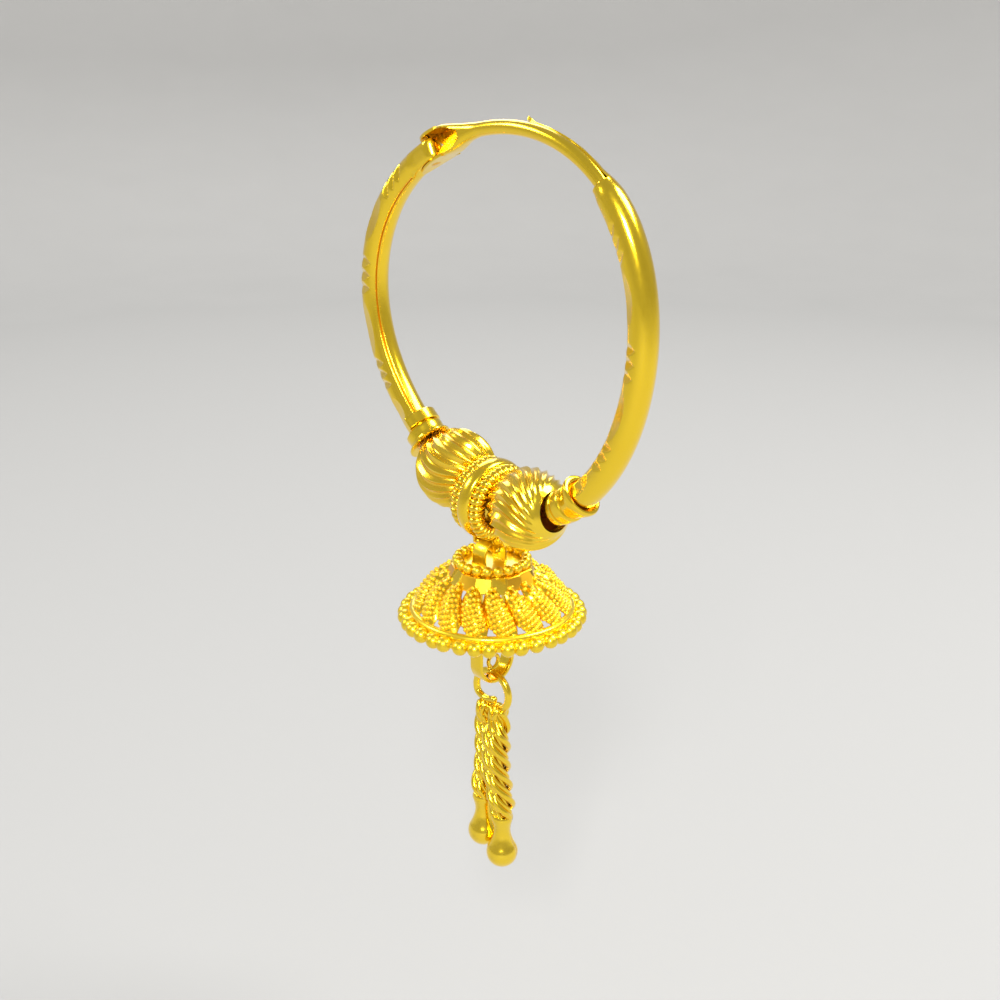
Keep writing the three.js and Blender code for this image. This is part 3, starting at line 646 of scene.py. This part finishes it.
def fluted_bead(which):
    """Hollow ball round Z. Its radius is the ball's less a flute: the flute's depth follows a
    sine between sharp ridges, and the ridges turn round the ball as the latitude's square."""
    columns = BEAD_FLUTES * 14
    hole = np.arccos([BEAD_INNER_HOLE / BEAD_RADIUS, BEAD_OUTER_HOLES[which] / BEAD_RADIUS])
    latitude = linspace(-hole[0], hole[1], 110)[:, None]
    degrees = np.degrees(latitude)
    spin = circle(columns, 0)[None, :]
    wave = np.abs(sin(spin * BEAD_FLUTES / 2))
    flute = 0.55 * wave ** 0.9 + 0.45 * wave ** 2
    fade = along(FLUTE_FADES[which], degrees)
    radius = BEAD_RADIUS - FLUTE_DEPTH * fade * flute
    lean, bend = FLUTE_CURVES[which]
    curve = radians(lean * degrees + bend * degrees ** 2)
    turn = spin + curve
    outside = polar(turn, cos(latitude) * radius, sin(latitude) * radius)
    inner_latitude = linspace(hole[1] - 0.01, -hole[0] + 0.01, 40)[:, None]
    turn = spin + np.interp(inner_latitude, [-hole[0], hole[1]], curve[[0, -1], 0])
    inner = BEAD_RADIUS - BEAD_WALL - FLUTE_DEPTH * 0.6
    inside = polar(turn, cos(inner_latitude), sin(inner_latitude)) * inner
    # Painted shade in the flutes by their depth, and deep painted shade inside the hole.
    depth = vstack([fade * flute * 0.8, np.full((len(inner_latitude), columns), 2.0)])
    return loft(vstack([outside, inside]), joined=True, painted_shade=depth)


def set_on_hoop(shell, angle, direction, outwards):
    """A piece made round Z set on the hoop, with Z along it and X to the front."""
    tangent, outward = hoop_directions(angle)
    z = tangent * direction
    x = np.array([0.0, -1, 0])
    axes = stack([x, np.cross(z, x), z], -1)
    return shell.moved(HOOP_MATRIX @ axes, hung(hoop_line(angle) + outward * outwards))


def coil(side):
    """Wire wound closely on a ring. The ring's section swells at each winding by the square
    root of a sine of its place round the ring; the windings lean by one winding a turn."""
    around, turn = circle(COIL_TURNS * 12, 0)[:, None], circle(24, 0)
    swell = np.sqrt(np.abs(sin((around * COIL_TURNS + side * turn) / 2)))
    section = COIL_MINOR + COIL_WIRE * swell
    radius = COIL_MAJOR + section * cos(turn)
    height = side * COIL_OFFSET + section * sin(turn)
    # Painted shade between the windings, where the section is thinnest.
    return loft(polar(around, radius, height), joined=True, painted_shade=1 - swell)


def centre_disc():
    """Disc with a polished rim, a milled ring, and a coil of wire on either face, and the eye
    below it that the bell's bail hangs on. Made round Z with the eye towards +Y."""
    face = [(0.62, 0.3), (0.66, 0.36), (2.4, 0.37), (2.52, 0.38), (2.57, 0.46), (2.64, 0.54),
            (2.74, 0.59), (2.85, 0.58), (2.96, 0.5), (3.04, 0.36), (3.08, 0.18), (3.09, 0.04)]
    plate = revolved(face + [(r, -z) for r, z in face[::-1]], 144)
    milling = circle(MILLING_GRAINS, 0)
    grains = [ball(0.085, 8, 6).repeated(polar(milling, MILLING_RADIUS, side * 0.43))
              for side in (1, -1)]
    foot = EYE_BAR_DROP + 0.1
    y = linspace(EYE_TOP, foot, 16)[:, None]
    half = along([(EYE_TOP, 0.5), (2.75, 0.56), (3.3, 0.46), (foot, 0.3)], y)
    x, z = rounded_box(1, 1, 0.35).T
    legs = [loft(points(half * x, y, side * EYE_HALF_WIDTH + 0.13 * z)) for side in (1, -1)]
    end = EYE_HALF_WIDTH + 0.02
    bar = wire(points(0, EYE_BAR_DROP, [-end, end]), EYE_BAR_RADIUS, (1, 0, 0), 20)
    made = [plate, *grains, coil(1), coil(-1), *legs, bar]
    upright = np.array([[0, 0, 1], [-1, 0, 0], [0, -1, 0]])
    axes = HOOP_MATRIX @ turned_about_y(DISC_LEAN) @ upright
    place = hung(hoop_line(HOOP_BOTTOM) + [DISC_SHIFT, 0, 0])
    return [shell.moved(axes, place) for shell in made]


# ---- bell

BELL_SHIFT = (0, 0, -BELL_DROP)
# The opening at a valley's foot and the one at its head: share of the dome's height, and half
# width in degrees.
OPENINGS = np.array([(0.03, 0), (0.055, 4.7), (0.28, 0), (0.79, 0), (0.93, 3.4), (0.95, 0)])


def opening_half(up):
    return np.interp(up, *OPENINGS.T)


def dome_point(turn, up, depth):
    """Point of the dome: the outline's radius and height at `up`, moved `depth` inwards square
    to the outline, at a turn in degrees that leans with the height."""
    rows = np.array(DOME_OUTLINE)
    radius = along(rows[:, :2], up)
    height = along(rows[:, [0, 2]], up)
    rise = along(rows[:, [0, 2]], up + 0.05) - along(rows[:, [0, 2]], up - 0.05)
    run = along(rows[:, :2], up - 0.05) - along(rows[:, :2], up + 0.05)
    slope = np.hypot(rise, run)
    across = radius - depth * rise / slope
    angle = radians(turn + LEAF_START + LEAF_SLANT * (up - 0.5))
    return polar(angle, across, height - depth * run / slope)


def leaf_depth(share):
    """Depth of a leaf's surface under its ridge, over its width from 0 to 1: a half wave to a
    low power, so the leaf is round and the valley between leaves is sharp."""
    return LEAF_DEPTH * (1 - sin(pi * clip(share, 0, 1)) ** 0.7)


def leaves():
    """Sheet of the dome: one grid for each leaf, from valley to valley. Where a valley has an
    opening, the grid's edge stands back from it by the opening's half width."""
    up = np.unique(hstack([linspace(0, 1, 41), OPENINGS[:, 0]]))[:, None]
    share = linspace(0, 1, 25)
    back = opening_half(up)
    width = 360 / LEAVES
    leaf = arange(LEAVES)[:, None, None]
    turn = leaf * width + back + share * (width - 2 * back)
    depth = leaf_depth((turn - leaf * width) / width)
    faces = grid_faces(len(up), len(share), round_columns=False) + leaf * up.size * share.size
    # Painted shade down the valleys between leaves, by how far under the ridge the surface lies.
    painted_shade = clip(depth / LEAF_DEPTH, 0, 1)
    return Shell(dome_point(turn, up, depth), faces, np.zeros((0, 3)), painted_shade.ravel())


def leaf_grains():
    """Slanting rows of round grains over every leaf, each row half a grain on from the one
    below, and smaller towards the leaf's edges."""
    spots = []
    for row in range(GRAIN_ROWS):
        up = 0.07 + row * 0.86 / (GRAIN_ROWS - 1)
        radius = float(along(np.array(DOME_OUTLINE)[:, :2], up))
        width = radians(360 / LEAVES) * radius
        free = width * 0.84 * sin(pi * (0.1 + 0.85 * up)) ** 0.3 \
            - radians(opening_half(up)) * radius * 1.5
        count = max(int(round(free / GRAIN_SPACING)) + row % 2, 1)
        share = (arange(count) - (count - 1) / 2) * GRAIN_SPACING / width
        spots.append(stack([0.5 + share, up + share * 0.2], -1))
    share, up = vstack(spots).T
    leaf = arange(LEAVES)[:, None]
    turn = (leaf + share) * 360 / LEAVES
    depth = leaf_depth(share)
    inner = dome_point(turn, up, depth + 0.05).reshape(-1, 3)
    outer = dome_point(turn, up, depth - 0.3).reshape(-1, 3)
    size = 1.04 - 0.5 * np.abs(share - 0.5) \
        + 0.05 * sin(leaf * 2.7 + arange(len(share)) * 1.9)
    return ball(GRAIN_RADIUS, 12, 8).repeated(inner, facing(outer - inner), size.ravel())


def strap(path, widths, thickness=STRAP_THICKNESS):
    """Flat strap with soft edges along points in the YZ plane, its width along X."""
    half = np.broadcast_to(widths, len(path))[:, None] / 2
    x, y = rounded_box(0.4, thickness / 2, 0.07).T
    section = stack([np.sign(x) * (np.abs(x) - 0.4 + half), y + 0 * half], -1)
    return swept(path, section, (1, 0, 0))


def bell_brim():
    """Rim: a plate, the polished ring on it, and granules that share a thin outer edge."""
    plate = revolved([(5.62, -0.13), (6.5, -0.2), (6.68, -0.15), (6.68, 0.15), (6.5, 0.24),
                      (6.1, 0.3), (5.62, 0.3)], 144)
    turn = radians(arange(0, 360, 22.5))
    ring = revolved(stack([RING_RADIUS + RING_WIRE * cos(turn),
                           RING_HEIGHT + RING_WIRE * sin(turn)], -1), 192)
    index = arange(RIM_GRANULES)
    around = circle(RIM_GRANULES) + 0.018 * sin(index * 2.4)
    granules = ball(RIM_GRANULE_RADIUS, 24, 16).repeated(
        polar(around, RIM_RADIUS, 0), sizes=1 + 0.02 * sin(index * 2.3))
    return [plate, ring, granules]


def bell_band():
    """Mirror band round the crown: flat facets that lean and turn each by a sine of its number,
    so that neighbours catch the light differently, and get a darker, redder painted reflection
    by another sine."""
    profile = np.array([(2.7, 3.3), (2.9, 3.2), (3.2, 2.92), (3.44, 2.92), (3.5, 2.98),
                        (3.06, 3.9), (3.0, 3.95), (2.6, 4.0), (2.5, 3.95), (2.5, 3.4)])
    tilted = np.array([0, 0, 0, 1, 1, -1, -1, 0, 0, 0])
    mirrored = np.abs(tilted)
    facet = arange(CROWN_FACETS)
    edge = (facet + 0.16 * sin(facet * 2.9)) / CROWN_FACETS * TAU
    width = (np.roll(edge, -1) - edge) % TAU
    turn = stack([edge + 0.03, edge + width - 0.03], -1).ravel()[:, None]
    facet = np.repeat(facet, 2)[:, None]
    lean = 0.07 + 0.12 * sin(facet * 4.1 + 0.6)
    swing = 0.06 * sin(facet * 2.3 + 1.1) * np.tile([-1, 1], CROWN_FACETS)[:, None]
    radius = profile[:, 0] + lean * tilted + swing * mirrored
    # Painted reflection: each mirrored facet is darkened and reddened by a sine of its number.
    tone = (0.75 + sin(facet * 2.6 + 0.8)) * mirrored
    return loft(polar(turn, radius, profile[:, 1]), joined=True, painted_shade=tone)


def bell_crown():
    """Plate of the crown and the ring of granules on it."""
    plate = turned([(0.5, 3.58), (2.6, 3.56), (2.62, 3.9), (2.5, 4.02), (0.5, 4.05)], 64)
    granules = ball(CROWN_GRANULE_RADIUS, 18, 12).repeated(
        polar(circle(CROWN_GRANULES, 0), CROWN_GRANULE_CIRCLE, CROWN_GRANULE_HEIGHT))
    return [plate, granules]


def bail():
    """Arch over the eye's bar, standing on two spread feet in the crown."""
    top = BAR_HEIGHT + EYE_BAR_RADIUS + BAIL_GAP + BAIL_THICKNESS / 2
    centre = top - BAIL_HALF_SPAN
    turn = radians(linspace(180, 0, 33))
    arch = points(0, cos(turn) * BAIL_HALF_SPAN, centre + sin(turn) * BAIL_HALF_SPAN)
    down = linspace(3.62, centre, 10)[:-1]
    foot = points(0, -BAIL_HALF_SPAN, down)
    path = vstack([foot, arch, foot[::-1] * [1, -1, 1]]) + [BAIL_SHIFT, 0, 0]
    return strap(path, along([(3.6, BAIL_FOOT_WIDTH), (4.4, BAIL_WIDTH)], path[:, 2]),
                 BAIL_THICKNESS)


def hanger():
    """Strap that drops from inside the crown, turns in a round and goes up again."""
    turn = radians(linspace(196, 344, 33))
    bow = points(0, cos(turn) * HANGER_HALF_SPAN,
                 HANGER_BOTTOM + HANGER_HALF_SPAN + sin(turn) * HANGER_HALF_SPAN)
    down = linspace(3.6, bow[0, 2] + 0.2, 24)
    leg = points(0, -HANGER_HALF_SPAN, down)
    return strap(vstack([leg, bow, leg[::-1] * [1, -1, 1]]), HANGER_WIDTH)


def inner_curl():
    """Curl of wire inside the hanger: a spiral whose radius shrinks as it turns."""
    turn = linspace(radians(-130), radians(230), 60)
    radius = CURL_RADIUS - 0.09 * (turn - turn[0]) / pi
    path = points(0.05, cos(turn) * radius, CURL_HEIGHT + sin(turn) * radius)
    return wire(path, CURL_WIRE, (1, 0, 0), 10)


# ---- ring, strands and drops


def ring_link():
    """Oval ring of round wire. Its cut ends pass each other at the lower left."""
    turn = linspace(RING_LINK_START, RING_LINK_END, 160)
    inwards = along([(RING_LINK_START, 0), (556, 0), (582, 0.28), (607, 0.62),
                     (RING_LINK_END, 0.86)], turn)
    path = points(cos(radians(turn)) * (RING_LINK_HALF_WIDTH - inwards), 0,
                  RING_LINK_CENTRE + sin(radians(turn)) * (RING_LINK_HALF_HEIGHT - inwards))
    return wire(path, RING_LINK_WIRE, (0, 1, 0), 20)


def strand_middle(height, side):
    """Middle of a strand at a height, with side 1 for the right strand and -1 for the left."""
    x = along([(STRAND_BOTTOM, 1.22), (-12.5, 0.94), (-10, 0.94), (-8.8, 0.68)], height)
    y = along([(STRAND_BOTTOM, -0.15), (-12.5, -0.44), (-10, -0.44), (-8.7, 0)], height)
    return points(side * x, side * y, height)


def strand_end(side):
    return STRAND_BOTTOM + (LEFT_STRAND_SHORTER if side < 0 else 0)


FACE_TURN = radians(2)  # the side that the strands' links turn their long bows to
LINK_SWEEP = radians(105)
# A link's wires: place along the strand as a share of the pitch, how far out, and radius.
LINK_WIRES = [(-0.16, 0.18, 0.25), (0.22, -0.02, 0.175)]


def strand(side):
    """Rope chain: links of a thick and a thin wire side by side, each a bow of a left-handed
    helix round the strand. A bow stands out most in its middle and tucks in at both ends, where
    the links of the other side cross it; the thin wire lies lower."""
    share = linspace(-1, 1, 30)
    low, high = strand_end(side) - 0.1, STRAND_FIRST_LINK
    shells = []
    for index in range(-2, 2 * int((high - low) / LINK_PITCH) + 5):
        for lane, stands, thick in LINK_WIRES:
            turn = FACE_TURN + index * pi + share * LINK_SWEEP
            height = high - 0.5 * index * LINK_PITCH - share * LINK_SWEEP / TAU * STRAND_LEAD \
                + lane * LINK_PITCH
            inside = (height < high + 0.25) & (height > low - 0.02)
            if inside.sum() < 6:
                continue
            grow = along([(low, 0.84), (low + 0.8, 1), (-9.9, 1), (-8.8, 0.72), (-8.0, 0.66)],
                         height)
            bow = (STRAND_RADIUS - thick + stands - 0.4 * np.abs(share) ** 3) * grow
            path = strand_middle(height, side) + polar(turn, bow, 0)
            shells.append(wire(path[inside], thick, (0.3, 0.2, 1), 10))
    core_height = linspace(high + 0.1, low, 40)
    shells.append(wire(strand_middle(core_height, side), STRAND_CORE_RADIUS, (1, 0, 0), 16))
    return shells


def strand_loop(side):
    """The strand's first links, closed round the ring's wire."""
    base = RING_LINK_CENTRE - RING_LINK_HALF_HEIGHT
    turn = circle(40, 0)
    shells = []
    for offset, tip in ((-0.2, -0.12), (0.2, 0.12)):
        x = side * 0.7 + offset + tip * sin(turn)
        path = points(x, cos(turn) * LOOP_RADIUS, base - 0.14 + sin(turn) * LOOP_RADIUS)
        shells.append(wire(path, LOOP_WIRE, (1, 0, 0), 8, joined=True))
    return shells


# Radius and height above the drop's top, down its cap and neck.
DROP_NECK = [(0.3, -0.12), (0.34, -0.02), (0.66, 0.02), (0.8, -0.04), (0.88, -0.18), (0.88, -0.4),
             (0.8, -0.7), (0.71, -1.05), (0.67, -1.4), (0.69, -1.75), (0.76, -2.05),
             (0.85, -2.32), (0.94, -2.55)]


def end_drop(side):
    """Pear-shaped drop: a cap round the strand's end, a neck that widens into a ball, and a
    seam slit down one side."""
    top = strand_end(side) - 0.02
    centre = top - DROP_LENGTH + DROP_BALL_RADIUS
    turn = radians(linspace(36, -88, 24))
    round_end = stack([cos(turn), sin(turn)], -1) * DROP_BALL_RADIUS + [0, centre]
    shell = turned(vstack([np.array(DROP_NECK) + [0, top], round_end]), 64)
    middle = strand_middle(STRAND_BOTTOM, side)
    x, y, height = shell.points.T
    away = np.arctan2(y, x) - SLIT_TURN
    slit = np.exp(-(np.arctan2(sin(away), cos(away)) / SLIT_WIDTH) ** 2)
    slit = slit * clip((top - height) / 0.3, 0, 1) * clip((height - centre + 0.5) / 0.4, 0, 1)
    shell.points[:, :2] *= (1 - SLIT_DEPTH * slit)[:, None]
    # Painted shade in the slit.
    shell.painted_shade = slit
    return shell.moved(shift=(middle[0], middle[1], 0))


# ---- finishes


def operator(operation, reflected=False):
    """Method that joins a value with another value or a number in one Math node."""
    def join(self, other):
        first, second = (other, self) if reflected else (self, other)
        return self.finish.node("Math", {"operation": operation}, {0: first, 1: second})[0]
    return join


class Value:
    """A socket that can be used in expressions with numbers and with other sockets."""

    def __init__(self, finish, socket):
        self.finish, self.socket = finish, socket

    __add__ = __radd__ = operator("ADD")
    __sub__, __rsub__ = operator("SUBTRACT"), operator("SUBTRACT", reflected=True)
    __mul__ = __rmul__ = operator("MULTIPLY")
    __truediv__ = operator("DIVIDE")
    above, below = operator("MAXIMUM"), operator("MINIMUM")


class Finish:
    """One material and its nodes."""

    def __init__(self, name):
        self.material = bpy.data.materials.new(name)
        self.material.use_nodes = True
        self.tree = self.material.node_tree
        self.tree.nodes.clear()

    def node(self, kind, settings=None, sockets=None):
        """Adds a node: its settings first, then the values or links of its sockets. Returns
        its outputs."""
        made = self.tree.nodes.new("ShaderNode" + kind)
        for key, value in (settings or {}).items():
            setattr(made, key, value)
        for key, value in (sockets or {}).items():
            if isinstance(value, Value):
                self.tree.links.new(value.socket, made.inputs[key])
            else:
                made.inputs[key].default_value = value
        return [Value(self, socket) for socket in made.outputs]

    def noise(self, place, scale, detail):
        return self.node("TexNoise", None, {"Vector": place, "Scale": scale, "Detail": detail})[0]

    def blend(self, share, first, second):
        """Colour between two others."""
        return self.node("Mix", {"data_type": "RGBA"},
                         {0: share, 6: (*first, 1), 7: (*second, 1)})[2]

    def surfaced(self, sockets):
        """The material with a surface of these values."""
        shader = self.node("BsdfPrincipled", None, sockets)[0]
        self.node("OutputMaterial", None, {"Surface": shader})
        return self.material


def polished_gold(name, colour, painted_shade_colour, roughness):
    """Hand-polished gold: the colour drifts a little, recesses get a painted shade of a redder,
    duller tone, fine rubbing marks change the gloss, and the surface is very slightly uneven."""
    gold = Finish(name)
    place = gold.node("TexCoord")[3]
    drift = gold.noise(place, 320.0, 3.0)
    stretched = gold.node("Mapping", {"vector_type": "POINT"},
                          {"Vector": place, "Scale": (1, 1, 0.25), "Rotation": (0.5, 0.7, 0.2)})[0]
    rubbing = gold.noise(stretched, 9000.0, 2.0)
    uneven = gold.noise(place, 900.0, 1.0)
    painted_shade = gold.node("Attribute", {"attribute_name": "painted_shade"})[2]
    # Painted shade: the colour moves towards the darker, redder shade colour with the painted shade
    # attribute, and a little with the random drift.
    shade = (painted_shade * 0.6 + (drift - 0.5) * 0.4).above(0.0).below(1.0)
    gloss = roughness + (rubbing - 0.5) * 0.12 + (drift - 0.5) * 0.1 + painted_shade * 0.1
    height = uneven * 0.012 + rubbing * 0.0006
    bump = gold.node("Bump", None, {"Strength": 0.6, "Distance": MM, "Height": height})[0]
    return gold.surfaced({"Base Color": gold.blend(shade, colour, painted_shade_colour),
                          "Metallic": 1.0, "Roughness": gloss.above(0.05), "Normal": bump,
                          "Coat Weight": 0.6, "Coat Roughness": 0.07})


# The second colour of each gold is the colour of its painted shade.
YELLOW_GOLD = polished_gold("yellow_gold_polished", (0.97, 0.67, 0.02), (0.84, 0.4, 0.008), 0.19)
PALE_GOLD = polished_gold("pale_gold_bright", (0.98, 0.69, 0.03), (0.88, 0.46, 0.012), 0.17)
SATIN_GOLD = polished_gold("yellow_gold_satin", (0.98, 0.7, 0.025), (0.86, 0.43, 0.01), 0.35)
GRAIN_GOLD = polished_gold("yellow_gold_grained", (0.98, 0.68, 0.025), (0.82, 0.38, 0.008), 0.4)
DEEP_GOLD = polished_gold("deep_gold_worn", (0.9, 0.5, 0.035), (0.6, 0.24, 0.012), 0.26)

# ---- making the pieces


def as_list(shells):
    return shells if isinstance(shells, list) else [shells]


def linked(name, data):
    """New object in the scene."""
    made = bpy.data.objects.new(name, data)
    bpy.context.scene.collection.objects.link(made)
    return made


def piece(name, shells, body, material, node, sharp=32, sheet_wall=0.0):
    """Makes one object of several surfaces, in metres, smooth except across edges sharper
    than `sharp` degrees. A single sheet gets its wall inwards from Solidify."""
    shells = as_list(shells)
    starts = np.cumsum([0] + [len(s.points) for s in shells])
    quads = vstack([s.quads + k for s, k in zip(shells, starts)])
    triangles = vstack([s.triangles + k for s, k in zip(shells, starts)])
    mesh = bpy.data.meshes.new(name)
    mesh.from_pydata((vstack([s.points for s in shells]) * MM).tolist(), [],
                     quads.tolist() + triangles.tolist(), shade_flat=False)
    # Painted shade for each point, which the finishes darken and redden the gold by.
    painted_shade = mesh.attributes.new("painted_shade", "FLOAT", "POINT")
    painted_shade.data.foreach_set("value", hstack([s.painted_shade for s in shells]).astype(np.float32))
    made = linked(name, mesh)
    if sheet_wall:
        weld(mesh)
        wall = made.modifiers.new("wall", "SOLIDIFY")
        wall.thickness, wall.offset, wall.use_rim = sheet_wall * MM, -1, True
    mesh.set_sharp_from_angle(angle=radians(sharp))
    mesh.materials.append(material)
    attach(made, body)
    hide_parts(node)


def weld(mesh):
    """Merges the points that neighbouring grids share."""
    work = bmesh.new()
    work.from_mesh(mesh)
    bmesh.ops.remove_doubles(work, verts=work.verts, dist=1e-7)
    work.to_mesh(mesh)
    work.free()


def bell_piece(name, shells, material, node, *looks):
    """A piece made round the bell's own axis, set under the hoop."""
    shells = [shell.moved(shift=BELL_SHIFT) for shell in as_list(shells)]
    piece(name, shells, "bell_drop", material, node, *looks)


SIDES = (("left", -1), ("right", 1))

piece("ear_wire_and_fork", [fork(), cheek(*OUTER_CHEEK), cheek(*INNER_CHEEK)], "ear_wire",
      YELLOW_GOLD, "ear_wire")
piece("hinge_pin_riveted", pin(), "ear_wire", DEEP_GOLD, "hinge_pin")
piece("hoop_tubes", [left_tube(), right_tube(), core()], "hoop", YELLOW_GOLD, "hoop_frame", 22)
piece("hoop_collars", [left_collar(), right_collar()], "hoop", YELLOW_GOLD, "hoop_frame")
piece("hoop_tongue", tongue(), "hoop", YELLOW_GOLD, "hoop_frame", 60)
for word, side in SIDES:
    bead = set_on_hoop(fluted_bead(word), HOOP_BOTTOM + side * BEAD_ANGLE, side, -BEAD_OFFSET)
    piece(f"bead_{word}_fluted", bead, "hoop", PALE_GOLD, f"bead_{word}")
piece("disc_with_coils", centre_disc(), "hoop", YELLOW_GOLD, "centre_disc")

bell_piece("bell_leaves", leaves(), YELLOW_GOLD, "bell", 40, LEAF_WALL)
bell_piece("bell_leaf_grains", leaf_grains(), GRAIN_GOLD, "bell", 60)
bell_piece("bell_brim_and_granules", bell_brim(), SATIN_GOLD, "bell")
bell_piece("bell_mirror_band", bell_band(), PALE_GOLD, "bell", 10)
bell_piece("bell_crown_granules", bell_crown(), SATIN_GOLD, "bell")
bell_piece("bell_bail", bail(), SATIN_GOLD, "bell")
bell_piece("bell_hanger", [hanger(), inner_curl()], YELLOW_GOLD, "bell")
bell_piece("tassel_ring", ring_link(), PALE_GOLD, "jump_ring")
for word, side in SIDES:
    bell_piece(f"rope_chain_{word}", strand(side) + strand_loop(side), YELLOW_GOLD,
               f"chain_{word}", 50)
    bell_piece(f"pear_drop_{word}", end_drop(side), PALE_GOLD, f"end_drop_{word}")

# ---- floor, lights and camera

FLOOR_HEIGHT = -80 * MM
FLOOR_REACH = 0.35
BACKDROP_REACH = 0.95
BACKDROP_HEIGHT = 0.62


def floor():
    """Plain pale sheet under the hanging earring, flat in the middle and swept up all round
    into a backdrop: past the flat part its height goes as a quarter of an ellipse."""
    turn = circle(96, 0)
    bend = radians(linspace(0, 90, 25))[1:]
    radius = hstack([0.1, FLOOR_REACH, FLOOR_REACH + (BACKDROP_REACH - FLOOR_REACH) * sin(bend)])
    height = FLOOR_HEIGHT + hstack([0, 0, BACKDROP_HEIGHT * (1 - cos(bend))])
    rings = polar(turn, radius[:, None], height[:, None])
    quads = grid_faces(*rings.shape[:2])[:, [0, 3, 2, 1]]
    mesh = bpy.data.meshes.new("floor")
    mesh.from_pydata(rings.reshape(-1, 3).tolist(), [],
                     [list(range(turn.size))] + quads.tolist(), shade_flat=False)
    pale = Finish("pale_floor")
    place = pale.node("TexCoord")[3]
    away = pale.node("VectorMath", {"operation": "LENGTH"}, {0: place})[1]
    mottle = pale.noise(place, 40.0, 2.0) * 0.06
    share = ((away - FLOOR_REACH) / 0.5 + mottle).above(0.0).below(1.0)
    tone = pale.blend(share, (0.4, 0.397, 0.388), (0.8, 0.79, 0.77))
    mesh.materials.append(pale.surfaced({"Base Color": tone, "Roughness": 0.75}))
    linked("floor", mesh)


TARGET = Vector((0.840, 0.0, -26.292)) * MM


def aimed(name, data, azimuth, elevation, distance):
    """Object that faces the earring from an azimuth, 0 to the front and 90 to the right, an
    elevation and a distance."""
    a, e = radians([azimuth, elevation])
    towards = Vector((sin(a) * cos(e), -cos(a) * cos(e), sin(e)))
    made = linked(name, data)
    made.location = TARGET + towards * distance
    made.rotation_mode = "QUATERNION"
    made.rotation_quaternion = towards.to_track_quat("Z", "Y")
    return made


def soft_light(name, azimuth, elevation, distance, size, power):
    """Square soft box."""
    light = bpy.data.lights.new(name, "AREA")
    light.shape, light.size, light.energy = "SQUARE", size, power
    aimed(name, light, azimuth, elevation, distance)


def surroundings(strength):
    """Even pale grey all round."""
    world = bpy.data.worlds.new("studio")
    world.use_nodes = True
    background = world.node_tree.nodes["Background"]
    background.inputs["Color"].default_value = (1.0, 0.99, 0.97, 1)
    background.inputs["Strength"].default_value = strength
    bpy.context.scene.world = world


def camera(azimuth, elevation, distance, lens):
    made = aimed("camera", bpy.data.cameras.new("camera"), azimuth, elevation, distance)
    made.data.lens, made.data.sensor_width = lens, 36.0
    made.data.clip_start, made.data.clip_end = 1 * MM, 10.0
    bpy.context.scene.camera = made


floor()
soft_light("front", 40, 34, 0.45, 0.115, 1.55)
soft_light("right_top", 141, 52, 0.45, 0.22, 2.4)
soft_light("left_fill", -50, 34, 0.5, 0.14, 0.8)
soft_light("left_behind", -125, 35, 0.5, 0.25, 0.6)
surroundings(0.42)
camera(azimuth=45.83, elevation=20.13, distance=100 * MM, lens=49.31)
bpy.context.scene.view_settings.view_transform = "Standard"
